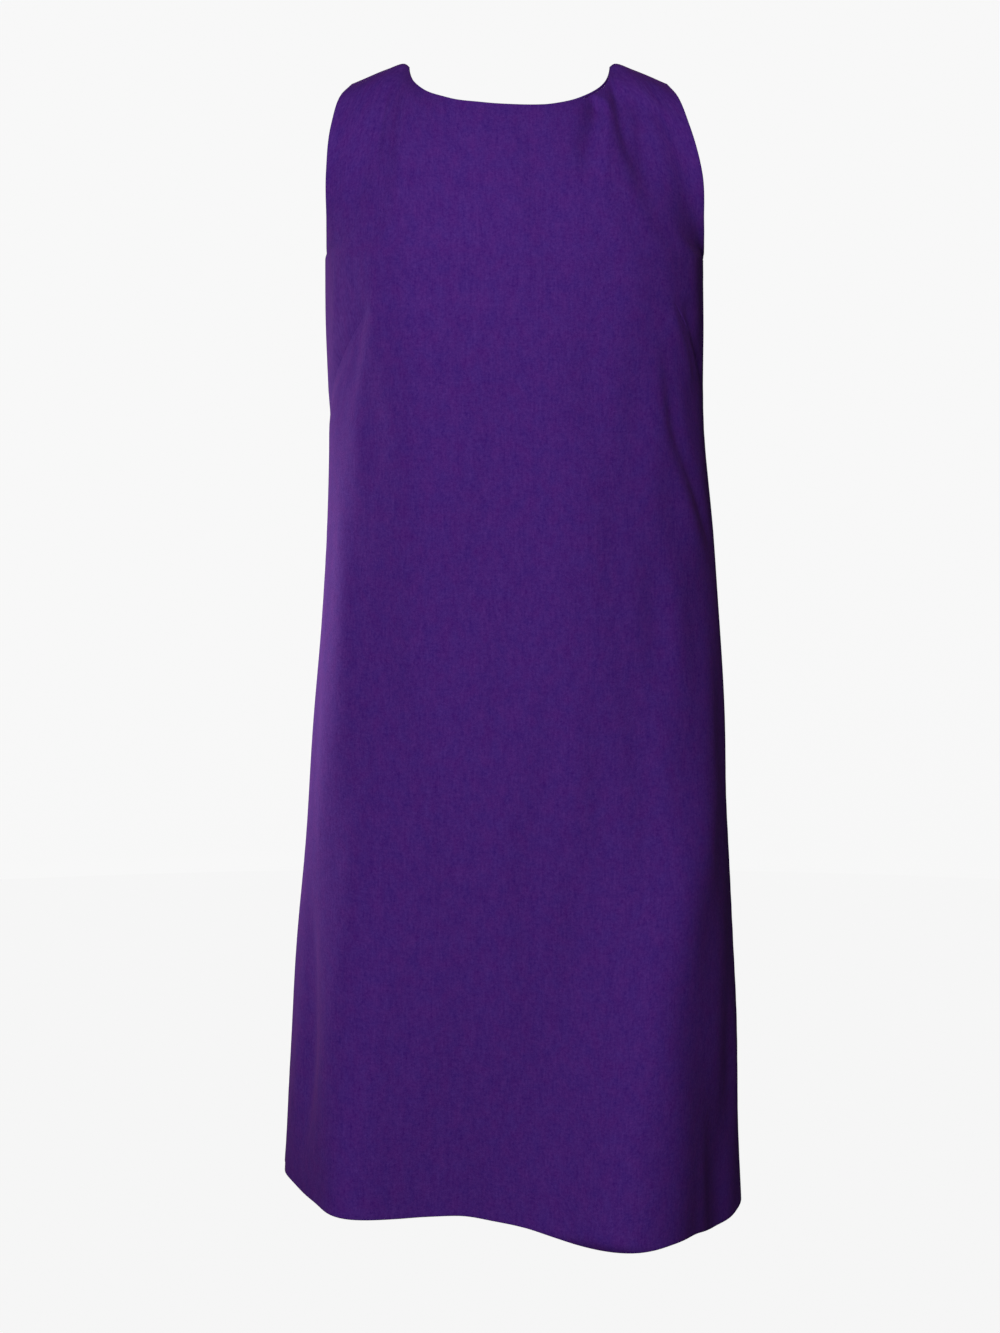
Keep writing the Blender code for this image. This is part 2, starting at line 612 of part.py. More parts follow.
# ---------------------------------------------------------------- the dress
def main():
    for thing in list(bpy.data.objects):
        bpy.data.objects.remove(thing)
    cloth = make_material("dress_cloth", CLOTH_COLOUR, roughness=0.85)
    tape = make_material("zip_tape", TAPE_COLOUR, roughness=0.8)
    metal = make_material("zip_metal", METAL_COLOUR, roughness=0.4, metallic=0.3)
    make_front(cloth)
    inner, normals, centre_rows = make_backs(cloth)
    make_tape(inner, normals, tape)
    place, slope = seat(centre_rows, SLIDER_Z)
    pivot = make_slider(place, slope, metal)
    make_pull(pivot, centre_rows, metal)


main()
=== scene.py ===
"""Looks of the sleeveless shift dress: crepe panels with turned edges and folds, and the zip.

The cloth follows the frame's form from the same named sizes, in finer rows, but for a finer hem
line and neck ends that lie 3 mm further in. It adds what the solids leave out: the rolled seams
and edges, the turned-in allowances, the creases and the weave. X points to the wearer's left,
-Y to the front and +Z up, in metres.
"""

import math

import bpy
import numpy as np
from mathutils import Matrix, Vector


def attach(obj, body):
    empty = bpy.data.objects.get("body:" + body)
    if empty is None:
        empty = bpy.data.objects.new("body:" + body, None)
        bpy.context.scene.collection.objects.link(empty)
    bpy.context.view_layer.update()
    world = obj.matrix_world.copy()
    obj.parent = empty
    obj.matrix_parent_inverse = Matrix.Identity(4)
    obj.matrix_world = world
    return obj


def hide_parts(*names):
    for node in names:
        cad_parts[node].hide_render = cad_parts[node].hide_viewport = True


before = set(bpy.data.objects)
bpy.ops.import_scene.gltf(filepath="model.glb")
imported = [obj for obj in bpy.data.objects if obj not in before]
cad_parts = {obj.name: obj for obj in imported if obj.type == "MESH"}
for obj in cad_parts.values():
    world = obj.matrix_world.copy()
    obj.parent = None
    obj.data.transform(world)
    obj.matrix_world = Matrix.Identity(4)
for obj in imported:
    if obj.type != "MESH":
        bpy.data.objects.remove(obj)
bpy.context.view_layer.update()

# ---------------- the form
FRONT, BACK = -1, 1  # the side of y = 0 on which a panel lies
SIDE_NAMES = {FRONT: "front", BACK: "back"}
UNDERARM_Z = -0.1555
HEM_Z = -0.915  # level at which the section table ends

# Level sections of the hanging cloth: half widths to each side, depths, and how square it is.
SECTIONS = (
    ("z", "left", "right", "front", "back", "power"),
    (HEM_Z, 0.1872, 0.1906, 0.1290, 0.1340, 2.30),
    (-0.860, 0.1832, 0.1894, 0.1265, 0.1310, 2.30),
    (-0.780, 0.1764, 0.1888, 0.1235, 0.1265, 2.30),
    (-0.680, 0.1690, 0.1836, 0.1190, 0.1205, 2.30),
    (-0.580, 0.1624, 0.1778, 0.1155, 0.1145, 2.30),
    (-0.480, 0.1552, 0.1732, 0.1135, 0.1065, 2.30),
    (-0.380, 0.1484, 0.1656, 0.1145, 0.1010, 2.30),
    (-0.285, 0.1450, 0.1578, 0.1175, 0.1035, 2.35),
    (-0.205, 0.1468, 0.1568, 0.1190, 0.1085, 2.40),
    (UNDERARM_Z, 0.1470, 0.1565, 0.1155, 0.1070, 2.40),
)

# The neck: half width and height where the shoulder seams end, then each side's reach and drop
# at the middle and how far its lowest point lies to the left, which is the wearer's throughout.
NECK_HALF, NECK_END_Z = 0.0797, -0.0030
NECK_COLUMNS = ("reach", "drop", "lean", "plan_power", "drop_power")
NECKS = {
    FRONT: (0.0680, 0.0362, 0.0144, 2.2, 2.35),
    BACK: (0.0640, 0.0280, 0.0000, 2.2, 2.40),
}
SHOULDER_OUT, SHOULDER_Z = 0.1272, -0.0163  # outer end of each shoulder seam

# Each shoulder seam rises from its outer end to its top and turns over into the neck.
SHOULDER_SEAM = (
    ("share", "x", "z"),
    (0.00, SHOULDER_OUT, SHOULDER_Z),
    (0.55, 0.0985, -0.0045),
    (0.85, 0.0838, -0.0001),
    (1.00, NECK_HALF, NECK_END_Z),
)

# Armhole edges from the underarm, up 0, to the shoulder, up 1.
ARMHOLES = (
    ("up", "left", "right", "front", "back", "z"),
    (0.00, 0.1470, 0.1565, 0.0000, 0.0000, UNDERARM_Z),
    (0.15, 0.1463, 0.1559, 0.0250, 0.0230, -0.1495),
    (0.35, 0.1455, 0.1545, 0.0430, 0.0410, -0.1250),
    (0.60, 0.1452, 0.1522, 0.0470, 0.0470, -0.0870),
    (0.80, 0.1415, 0.1425, 0.0370, 0.0390, -0.0500),
    (0.92, 0.1350, 0.1340, 0.0195, 0.0215, -0.0262),
    (1.00, SHOULDER_OUT, SHOULDER_OUT, 0.0000, 0.0000, SHOULDER_Z),
)
BACK_ARMHOLE_IN = 0.0050  # the back armholes are cut this much narrower
ARMHOLE_EASE = 0.60  # share of the panel's width over which the armhole's shape fades

# How the cloth arrives at the top edge: along y and along z, on the shoulders and at mid neck.
ARRIVE_SHOULDER = (0.150, 0.055)
ARRIVE_NECK = (0.060, 0.105)
NECK_SPREAD = 3  # how suddenly the shoulders' way of arriving gives place to the neck's
CHORD_KEPT = 0.6  # share of the way across from the underarm to the top edge that it keeps
LEAVE_STEP = 0.010  # how far below the underarm the cloth's slope is taken

# The hem's height by the share of the way round, from the right side seam (0) over the centre
# front (0.5) and the left side seam (1) to the centre back (1.5) and round.
HEM_LINE = (
    ("turn", "z"),
    (0.00, -0.9000),
    (0.08, -0.9012),
    (0.14, -0.9052),
    (0.20, -0.9076),
    (0.26, -0.9118),
    (0.32, -0.9134),
    (0.43, -0.9118),
    (0.52, -0.9168),
    (0.60, -0.9264),
    (0.66, -0.9284),
    (0.72, -0.9252),
    (0.78, -0.9278),
    (0.84, -0.9334),
    (0.90, -0.9320),
    (1.00, -0.9250),
    (1.25, -0.9190),
    (1.50, -0.9160),
    (1.75, -0.9090),
    (2.00, -0.9000),
)

# Folds that fall from the hips to the hem: place across the panel at the start and at the hem
# (0 to 1 from the right), start level, depth at the hem (minus: hollow) and width.
FLUTES = (
    ("side", "start_at", "hem_at", "start_z", "depth", "width"),
    (FRONT, 0.16, 0.240, -0.50, 0.030, 0.070),
    (FRONT, 0.38, 0.400, -0.55, -0.006, 0.070),
    (FRONT, 0.84, 0.685, -0.42, 0.052, 0.110),
    (BACK, 0.22, 0.250, -0.56, 0.016, 0.070),
    (BACK, 0.42, 0.390, -0.60, -0.006, 0.070),
    (BACK, 0.70, 0.740, -0.50, 0.020, 0.080),
)
FLUTE_GROWTH = 1.5

# Bust darts: place across the front and level, at the side seam and at the tip.
DARTS = (
    ("side_at", "side_z", "tip_at", "tip_z"),
    (0.0, -0.296, 0.225, -0.192),
    (1.0, -0.288, 0.800, -0.188),
)
DART_DEPTH, DART_WIDTH = 0.0026, 0.0075
DART_START = 0.12  # share of a dart over which it deepens from the side seam

# The frame's columns across each side, and those of them on each shoulder seam.
COLUMNS, SHOULDER_COLUMNS = 34, 5
SEAM_SHARE = SHOULDER_COLUMNS / COLUMNS
RING_SAMPLES = 721
TINY = 1e-12  # takes the place of a length of nought

# ---------------- what the scene adds
CLOTH = 0.0008  # thickness of the crepe
FOLD_GAP = 0.0003  # between its two layers where an edge is turned in
ROLL = CLOTH + FOLD_GAP / 2  # outer radius of a turned edge
ROLL_STEPS = 6
SEAM_PRESS = 0.0001  # how far the rolled edges of two panels press into each other at a seam
TURNS = {"first": 0.012, "last": 0.012, "hem": 0.035, "top": 0.012}  # widths turned in
TURN_STEP = 0.0035  # between the rows of a turned-in layer
FLAP_LEAP = 0.05  # a longer step isn't along cloth
FINE_COLUMNS = {FRONT: 4 * COLUMNS, BACK: 5 * COLUMNS}
LEVEL_STEP = 0.0038  # between rows from the hem to the underarm
RISE_ROWS = 44  # rows from the underarm to the shoulders

HEM_CLEAR, TOP_CLEAR = 0.002, 0.08  # side layers end this short of the hem's; a share of the rise
BARE_LOW, BARE_HIGH = round((TURNS["hem"] + HEM_CLEAR) / LEVEL_STEP), round(TOP_CLEAR * RISE_ROWS)

# The front's rows lean so that one runs along both darts, and lie closer at these gaps from it.
DART_ROW_Z = -0.225
DART_LEAN_TOP, DART_LEAN_FOOT = UNDERARM_Z, -0.330
DART_ROW_GAPS = (0.0004, 0.0009, 0.0016, 0.0028, 0.0045)
STITCH_DEPTHS, STITCH_WIDTH = (0.00022, 0.0006), 0.0007  # the sewn line of each dart
STITCH_END = 0.125  # share of a dart over which its sewn line fades before the tip

# Creases: depth (minus: trough), widths to the right and left of the path, the shares of its
# length over which it fades in and out, and the path as (share across, z) from the top.
CREASE_COLUMNS = ("depth", "right", "left", "fade_in", "fade_out", "path")
FRONT_CREASES = (
    CREASE_COLUMNS,
    # below the neck, towards the left shoulder
    (-0.0072, 0.015, 0.013, 0.03, 0.6,
     ((0.716, -0.03), (0.698, -0.048), (0.684, -0.061), (0.671, -0.076), (0.664, -0.108))),
    (0.0007, 0.006, 0.006, 0.05, 0.7,
     ((0.752, -0.028), (0.733, -0.048), (0.718, -0.064), (0.708, -0.09), (0.704, -0.112))),
    (-0.006, 0.0175, 0.026, 0.14, 0.6,
     ((0.828, -0.012), (0.812, -0.03), (0.796, -0.05), (0.799, -0.067), (0.812, -0.084), (0.812, -0.13))),
    (-0.003, 0.0134, 0.038, 0.1, 0.6,
     ((0.904, -0.026), (0.871, -0.048), (0.853, -0.066), (0.844, -0.082), (0.84, -0.118))),
    # towards the right shoulder
    (-0.0012, 0.0045, 0.0055, 0.1, 0.5,
     ((0.124, -0.018), (0.131, -0.034), (0.134, -0.052), (0.14, -0.068), (0.16, -0.095))),
    (0.0004, 0.006, 0.006, 0.2, 0.8, ((0.215, -0.06), (0.225, -0.09), (0.228, -0.13))),
    # from the right dart to the side, and the bend that runs down from it beside the highlight
    (0.001, 0.006, 0.006, 0.4, 0.4, ((0.13, -0.165), (0.12, -0.19), (0.108, -0.215))),
    (-0.0018, 0.012, 0.0065, 0.3, 0.3, ((0.222, -0.18), (0.2, -0.208), (0.183, -0.235), (0.156, -0.27))),
    (0.0009, 0.0055, 0.01, 0.25, 0.35,
     ((0.246, -0.184), (0.224, -0.22), (0.208, -0.245), (0.178, -0.285))),
    (0.003, 0.02, 0.017, 0.16, 0.45,
     ((0.176, -0.25), (0.178, -0.3), (0.176, -0.36), (0.158, -0.43), (0.14, -0.5), (0.133, -0.61))),
    (0.0008, 0.012, 0.014, 0.3, 0.2, ((0.16, -0.62), (0.171, -0.746), (0.185, -0.823), (0.204, -0.905))),
    (-0.0028, 0.018, 0.022, 0.35, 0.4,
     ((0.197, -0.495), (0.199, -0.59), (0.203, -0.686), (0.209, -0.742))),
    (-0.0028, 0.011, 0.009, 0.3, 0.35,
     ((0.094, -0.655), (0.115, -0.718), (0.132, -0.799), (0.141, -0.838), (0.143, -0.88))),
    # the fuller bust towards the left armhole
    (0.001, 0.03, 0.016, 0.5, 0.4, ((0.88, -0.13), (0.885, -0.17), (0.888, -0.205), (0.892, -0.25))),
    # from the left dart to the side, and the long drag below it
    (0.0016, 0.011, 0.005, 0.25, 0.35,
     ((0.786, -0.19), (0.812, -0.213), (0.838, -0.236), (0.864, -0.268))),
    (-0.0022, 0.0045, 0.012, 0.25, 0.2,
     ((0.826, -0.184), (0.854, -0.208), (0.884, -0.228), (0.92, -0.25))),
    (0.0018, 0.015, 0.006, 0.45, 0.25,
     ((0.744, -0.205), (0.762, -0.25), (0.78, -0.298), (0.815, -0.336), (0.868, -0.382), (0.905, -0.414))),
    (-0.003, 0.006, 0.009, 0.55, 0.25,
     ((0.764, -0.2), (0.786, -0.25), (0.808, -0.29), (0.846, -0.326), (0.895, -0.366), (0.935, -0.402))),
    # the bend that comes down from the left side to the hem
    (0.0062, 0.03, 0.024, 0.35, 0.02,
     ((0.92, -0.54), (0.83, -0.598), (0.768, -0.66), (0.718, -0.723), (0.686, -0.775), (0.634, -0.93))),
    (0.0012, 0.007, 0.007, 0.6, 0.02, ((0.792, -0.8), (0.792, -0.86), (0.794, -0.935))),
    # down to the hem on the right
    (-0.0018, 0.014, 0.016, 0.4, 0.02, ((0.288, -0.69), (0.306, -0.819), (0.321, -0.93))),
    # faint columns down the middle
    (-0.0005, 0.016, 0.016, 0.4, 0.4, ((0.385, -0.32), (0.394, -0.461), (0.406, -0.6))),
    (0.0005, 0.016, 0.018, 0.4, 0.4, ((0.479, -0.33), (0.476, -0.498), (0.485, -0.7))),
)
BACK_CREASES = (
    CREASE_COLUMNS,
    # from the armholes over the shoulder blades
    (-0.0014, 0.009, 0.007, 0.25, 0.7, ((0.12, -0.112), (0.2, -0.15), (0.29, -0.172))),
    (0.001, 0.01, 0.009, 0.25, 0.75, ((0.13, -0.142), (0.215, -0.182), (0.3, -0.205))),
    (-0.0012, 0.008, 0.009, 0.25, 0.7, ((0.885, -0.118), (0.81, -0.152), (0.72, -0.168))),
    (0.0009, 0.01, 0.01, 0.25, 0.75, ((0.88, -0.148), (0.8, -0.188), (0.73, -0.206))),
    # across the small of the back
    (-0.0026, 0.01, 0.008, 0.4, 0.6, ((0.06, -0.298), (0.19, -0.33), (0.36, -0.338))),
    (0.0018, 0.011, 0.009, 0.4, 0.6, ((0.08, -0.322), (0.23, -0.352), (0.4, -0.358))),
    (-0.002, 0.009, 0.011, 0.4, 0.65, ((0.13, -0.352), (0.26, -0.378), (0.38, -0.38))),
    (-0.0024, 0.008, 0.01, 0.4, 0.6, ((0.945, -0.288), (0.82, -0.322), (0.66, -0.334))),
    (0.0017, 0.009, 0.011, 0.4, 0.6, ((0.92, -0.314), (0.79, -0.346), (0.62, -0.356))),
    (-0.0015, 0.011, 0.009, 0.4, 0.65, ((0.88, -0.346), (0.77, -0.37), (0.66, -0.374))),
    # down the back's skirt
    (0.0016, 0.016, 0.018, 0.6, 0.02, ((0.12, -0.56), (0.125, -0.74), (0.14, -0.93))),
    (-0.0022, 0.014, 0.016, 0.6, 0.02, ((0.33, -0.6), (0.322, -0.76), (0.318, -0.93))),
    (-0.002, 0.015, 0.014, 0.6, 0.02, ((0.64, -0.58), (0.65, -0.76), (0.662, -0.93))),
    (0.0014, 0.018, 0.016, 0.6, 0.02, ((0.87, -0.62), (0.868, -0.78), (0.862, -0.93))),
)
CREASES = {FRONT: FRONT_CREASES, BACK: BACK_CREASES}
CREASE_WIDTH = 0.44  # what a share of 1 across measures, beside the creases' widths
CREASE_STEPS = 24

# Soft unevenness of the hanging cloth: how many waves, their amplitude, and their lengths.
WAVES = (
    ("count", "height", "across", "along"),
    (7, 0.00034, 0.110, 0.420),
    (9, 0.00010, 0.038, 0.110),
)
WAVE_SEED, WAVE_SPREAD = 11, (0.7, 1.5)  # the lengths are drawn from these multiples
HEM_WAVINESS = 2.2  # how much stronger they are at the hem
EDGE_CALM, EDGE_KEPT = 0.014, 0.35  # how near the neck the cloth lies calmer, and how much is left
SIDE_CALM, SIDE_KEPT = 0.03, 0.25  # the same at the side seams, as a share across
SETTLE_ROUNDS, SETTLE_REACH = 36, 0.030  # smoothing below the neck's corners
SETTLE_RISE, SETTLE_SIDE = 0.15, 0.06  # shares of the rise and of the width where it sets in
PUCKER_HEIGHT, PUCKER_LONG, PUCKER_FADE = 0.00022, 0.021, 0.009  # beside the sewn seams
PUCKER_SWAY, PUCKER_SWAY_LONG = 1.7, 0.057  # how their spacing varies, and every how far
PUCKER_MEAN, PUCKER_SWELL_LONG = 0.6, 0.083  # the same of their height

# Zip: heights of its lower end, of the slider, and of the tapes' and the closed coil's upper ends
ZIP_END_Z, SLIDER_Z, TAPE_TOP_Z, COIL_TOP_Z = -0.530, -0.0465, -0.0345, -0.0545
CROWN_LONG = 0.0052  # of the slider's crown, round which the seam opens
SLOT_HALF, SLOT_FADE = 0.0010, 0.0060  # half width of the opening, and how far on it closes
SLOT_COLUMNS = 5  # columns beside the seam that give way for it
NEAR_COLUMNS = 8  # columns on each side of the seam that the zip lies behind
TAPE_FROM, TAPE_TO, TAPE_THICK = 0.0004, 0.0125, 0.0005  # from the seam to each tape's edges
TAPE_CLEAR = 0.0001
TAPE_DEPTH = 2 * ROLL + TAPE_CLEAR  # behind the cloth's outer face
TAPE_BACK = TAPE_DEPTH + TAPE_THICK
TAPE_ROWS, TAPE_COLUMNS = 160, 6
COIL_PITCH, COIL_WIRE = 0.00115, 0.00025  # WIRE, and THREAD below, are radii
COIL_MIDDLE, COIL_HALF, COIL_HIGH = 0.000475, 0.000575, 0.0004  # MIDDLE: from the seam
COIL_STEPS, COIL_SIDES = 10, 6  # points to a turn, and round the wire
STITCH_LONG, STITCH_STEP, STITCH_AT = 0.0024, 0.0030, 0.0044  # AT: from the seam
THREAD, THREAD_RISE, THREAD_SIDES = 0.00013, 0.00012, 5
TACKS, TACK_HALF, TACK_STEP = 8, 0.0021, 0.00040  # the bar of stitches across the coil's lower end

# Colours, linear
CREPE = (0.0520, 0.0135, 0.1480)
CREPE_WARM, CREPE_COOL = (1.10, 0.96, 0.99), (0.92, 1.03, 1.02)
# The grain's lighter spots are partly the crepe's own grain and partly painted glints of light on raised
# fibres.
GRAIN_GLINT_COLOUR = (0.0250, 0.0112, 0.0400)  # how much lighter the raised threads are
GRAIN = (  # spots by their size across and along the warp
    ("across", "along", "detail", "strength"),
    (0.0015, 0.0014, 2.0, 1.45),
    (0.0026, 0.0030, 2.0, 1.45),
    (0.0015, 0.0120, 2.0, 0.90),
    (0.0070, 0.0180, 2.0, 0.80),
)
DYE_SPOTS = (0.0110, 0.0140)
CREPE_ROUGHNESS = 0.6  # of the noises
PEBBLES, WEAVE = (900.0, 780.0), (9500.0, 8600.0)  # spots and radians to a metre
WEAVE_HEIGHT = 0.12  # beside the pebbles' height of 1
METAL = (0.080, 0.022, 0.190)
TAPE = (0.042, 0.013, 0.112)

# Floor and wall
FLOOR_Z, FLOOR_REACH, FLOOR_CURVE, WALL_HIGH = -1.45, 4.5, 1.5, 7.0
CURVE_STEPS, STAGE_SIDES = 12, 96

# Lights, with their spread in degrees
LIGHTS = (
    ("name", "place", "target", "size", "power", "colour", "spread"),
    ("front", (-0.42, -2.2, 0.50), (0.0, 0.0, -0.40), 0.8, 57.0, (1.0, 1.0, 1.0), 180.0),
    ("side", (-1.1, 0.60, -0.48), (-0.15, 0.0, -0.45), 0.3, 1.75, (1.0, 0.84, 0.90), 46.0),
    ("behind", (0.0, 3.0, 0.6), (0.0, 0.0, -0.45), 0.8, 40.0, (1.0, 1.0, 1.0), 180.0),
)
WORLD_STRENGTH = 0.10

# Camera: where the photograph's stood, and how far down it looked, in degrees
CAMERA_AT = (-0.0076, -2.5, -0.2094)
CAMERA_PITCH = 6.3
IMAGE_HIGH, FOCAL_PIXELS = 1333, 3075
SENSOR = 0.036


# ---------------- small tools
def hermite(t, low, high, leave, arrive):
    """The curve at t from low, which it leaves with one slope, to high, where it arrives."""
    blend = (1 + 2 * t) * (1 - t) ** 2 * low + t * t * (3 - 2 * t) * high
    return blend + t * (1 - t) ** 2 * leave - t * t * (1 - t) * arrive


def smooth(xs, ys, x):
    """Value at x of a smooth curve through the points (xs, ys), with xs rising."""
    slopes = np.gradient(ys, xs)
    i = np.clip(np.searchsorted(xs, x) - 1, 0, len(xs) - 2)
    span = xs[i + 1] - xs[i]
    t = np.clip((x - xs[i]) / span, 0.0, 1.0)
    return hermite(t, ys[i], ys[i + 1], span * slopes[i], span * slopes[i + 1])


def read_table(table, x, *names):
    """Smooth values of the named columns of a table at x, a value of its first column."""
    rows = np.array(table[1:], float)
    return [smooth(rows[:, 0], rows[:, table[0].index(name)], x) for name in names]


def named(table):
    """The rows of a table below its first, which names the columns."""
    return [dict(zip(table[0], row)) for row in table[1:]]


def ramp(x):
    """0 below 0, 1 above 1, and smooth between."""
    t = np.clip(x, 0.0, 1.0)
    return t * t * (3 - 2 * t)


def bell(x):
    """1 at 0, and falling off smoothly to both sides."""
    return np.exp(-(x**2))


def run_along(points, leap=math.inf):
    """Distance run at each row of points, without the steps that are longer than a leap."""
    steps = np.linalg.norm(np.diff(points, axis=0), axis=-1)
    steps[steps > leap] = 0.0
    return np.concatenate([np.zeros_like(steps[:1]), np.cumsum(steps, axis=0)])


def read_line(places, run, line):
    """Values at the given places of a line whose own points lie at run."""
    return np.stack([np.interp(places, run, values) for values in line.T], axis=-1)


def along(points, shares):
    """Points at the given shares of a polyline's length."""
    run = run_along(points)
    return read_line(shares, run / run[-1], points)


def unit(vectors):
    """The same vectors at length 1."""
    return vectors / np.maximum(np.linalg.norm(vectors, axis=-1, keepdims=True), TINY)


# ---------------- the worn form
def half_ring(z, side, shares):
    """The front or back half of the level section at z, from the wearer's right to left."""
    left, right, depth, power = read_table(SECTIONS, z, "left", "right", SIDE_NAMES[side], "power")
    angle = np.linspace(0.0, math.pi, RING_SAMPLES)
    reach = (np.abs(np.cos(angle)) ** power + np.sin(angle) ** power) ** (-1.0 / power)
    x = (right - left) / 2 - (right + left) / 2 * np.cos(angle) * reach
    y = side * depth * np.sin(angle) * reach
    y[0] = y[-1] = 0.0
    return along(np.stack([x, y, np.full_like(x, z)], axis=1), shares)


def neckline(side, shares):
    """The neck edge of one side, from the wearer's right shoulder seam to the left one."""
    neck = dict(zip(NECK_COLUMNS, NECKS[side]))
    x = -NECK_HALF * np.cos(np.linspace(0.0, math.pi, RING_SAMPLES))
    inward = np.abs(x) / NECK_HALF
    y = side * neck["reach"] * (1 - inward ** neck["plan_power"]) ** (1 / neck["plan_power"])
    off = x - neck["lean"]
    inward = np.clip(np.abs(off) / (NECK_HALF - np.sign(off) * neck["lean"]), 0.0, 1.0)
    fall = (1 - inward ** neck["drop_power"]) ** (1 / neck["drop_power"])
    z = NECK_END_Z - (neck["drop"] + NECK_END_Z) * fall
    return along(np.stack([x, y, z], axis=1), shares)


def top_edge(side, shares):
    """Shoulder seam, neck edge and shoulder seam of one side, as one row of points."""
    seam = np.clip(np.minimum(shares, 1 - shares) / SEAM_SHARE, 0.0, 1.0)
    seam_x, seam_z = read_table(SHOULDER_SEAM, seam, "x", "z")
    seam_points = np.stack([np.where(shares < 0.5, -seam_x, seam_x), 0 * seam, seam_z], axis=1)
    neck = neckline(side, np.clip((shares - SEAM_SHARE) / (1 - 2 * SEAM_SHARE), 0.0, 1.0))
    return np.where((seam < 1.0)[:, None], seam_points, neck)


def armhole_edge(side, up):
    """Right and left armhole edges of one side at each share of the way up."""
    left, right, depth, z = read_table(ARMHOLES, up, "left", "right", SIDE_NAMES[side], "z")
    inset = BACK_ARMHOLE_IN * np.sin(math.pi * up) if side == BACK else 0 * up
    y = side * depth
    return np.stack([-left + inset, y, z], axis=1), np.stack([right - inset, y, z], axis=1)


def armhole_shares(depths, ring):
    """Shares of the underarm section at which it reaches each armhole depth, from one end."""
    half = len(ring) // 2
    return np.interp(depths, np.abs(ring[:half, 1]), np.linspace(0.0, 1.0, len(ring))[:half])


def bodice(side, rises, shares):
    """Grid of one side above the underarm, lofted from the underarm section to the top edge."""
    top = top_edge(side, shares)
    edges = armhole_edge(side, rises)
    ring = half_ring(UNDERARM_Z, side, np.linspace(0.0, 1.0, RING_SAMPLES))
    cuts = [
        armhole_shares(np.abs(edge[:, 1]), line) for edge, line in zip(edges, (ring, ring[::-1]))
    ]
    to_neck = np.clip(np.abs(top[:, 0]) / NECK_HALF, 0.0, 1.0)[:, None] ** NECK_SPREAD
    arrive_y, arrive_z = (
        to_neck * shoulder + (1 - to_neck) * neck
        for shoulder, neck in zip(ARRIVE_SHOULDER, ARRIVE_NECK)
    )
    rows = []
    for t, cut_right, cut_left, edge_right, edge_left in zip(rises, *cuts, *edges):
        places = cut_right + (1 - cut_right - cut_left) * shares
        low = half_ring(UNDERARM_Z, side, places)
        below = half_ring(UNDERARM_Z - LEAVE_STEP, side, places)
        leave = unit(low - below) * np.linalg.norm(top - low, axis=1, keepdims=True)
        arrive = np.hstack([CHORD_KEPT * (top - low)[:, :1], -side * arrive_y, arrive_z])
        row = hermite(t, low, top, leave, arrive)
        pulls = (edge_right - row[0], edge_left - row[-1])
        for pull, away in zip(pulls, (shares, 1 - shares)):
            ease = np.clip(1 - away / ARMHOLE_EASE, 0.0, 1.0) ** 2
            row = row + ease[:, None] * pull
        rows.append(row)
    return np.array(rows)


def fluted(side, z, shares, ring):
    """A level section moved out and in by the folds that fall to the hem."""
    out = np.gradient(ring[:, :2], axis=0)
    out = unit(side * np.stack([-out[:, 1], out[:, 0]], axis=1))
    for fold in named(FLUTES):
        if fold["side"] != side or z >= fold["start_z"]:
            continue
        grown = (fold["start_z"] - z) / (fold["start_z"] - HEM_Z)
        place = fold["start_at"] + (fold["hem_at"] - fold["start_at"]) * grown
        move = fold["depth"] * grown**FLUTE_GROWTH * bell((shares - place) / fold["width"])
        ring[:, :2] += out * (move * np.sqrt(np.sin(math.pi * shares)))[:, None]
    return ring


def skirt(side, levels, shares):
    """Grid of one side from the hem to the underarm, with its flutes and uneven hem."""
    turn = shares if side == FRONT else 2 - shares
    (hem,) = read_table(HEM_LINE, turn, "z")
    rows = []
    for z in levels:
        ring = fluted(side, z, shares, half_ring(z, side, shares))
        ring[:, 2] = UNDERARM_Z + (z - UNDERARM_Z) * (hem - UNDERARM_Z) / (HEM_Z - UNDERARM_Z)
        rows.append(ring)
    return np.array(rows)


def outward(grid, side):
    """Unit normals of a grid of points, away from the wearer."""
    across, up = np.gradient(grid, axis=1), np.gradient(grid, axis=0)
    return -side * unit(np.cross(across, up))


def seam_normals(normals, edge, axis):
    """Normals along a seam, square to it and flat in its plane, which is square to an axis."""
    tangent = unit(np.gradient(edge, axis=0))
    in_plane = 1 - np.eye(3)[axis]
    flat = normals * in_plane
    flat = flat - np.sum(flat * tangent, axis=1, keepdims=True) * tangent
    return unit(flat * in_plane)


# ---------------- fine grids
def even_levels():
    """Row heights from the hem to just below the underarm."""
    return np.arange(HEM_Z, UNDERARM_Z - LEVEL_STEP / 2, LEVEL_STEP)


def front_levels():
    """Row heights of the front, denser along the darts."""
    even, gaps = even_levels(), np.array(DART_ROW_GAPS)
    dart_rows = DART_ROW_Z + np.concatenate([-gaps[::-1], [0.0], gaps])
    clear = (even < dart_rows[0] - LEVEL_STEP / 2) | (even > dart_rows[-1] + LEVEL_STEP / 2)
    return np.sort(np.concatenate([even[clear], dart_rows]))


def fine_grid(side, heights, rises, shares):
    """Points of one side, at heights for each row and column, then at rises from the underarm."""
    step = LEVEL_STEP / 2
    table_z = np.arange(HEM_Z, UNDERARM_Z + step / 2, step)
    table_z[-1] = UNDERARM_Z
    table = skirt(side, table_z, shares)
    last = len(table_z) - 1
    spot = np.clip((heights - HEM_Z) / (UNDERARM_Z - HEM_Z) * last, 0, last)
    low = np.minimum(spot.astype(int), last - 1)
    part = (spot - low)[..., None]
    across = np.arange(len(shares))[None, :]
    below = table[low, across] * (1 - part) + table[low + 1, across] * part
    return np.concatenate([below, bodice(side, rises, shares)])


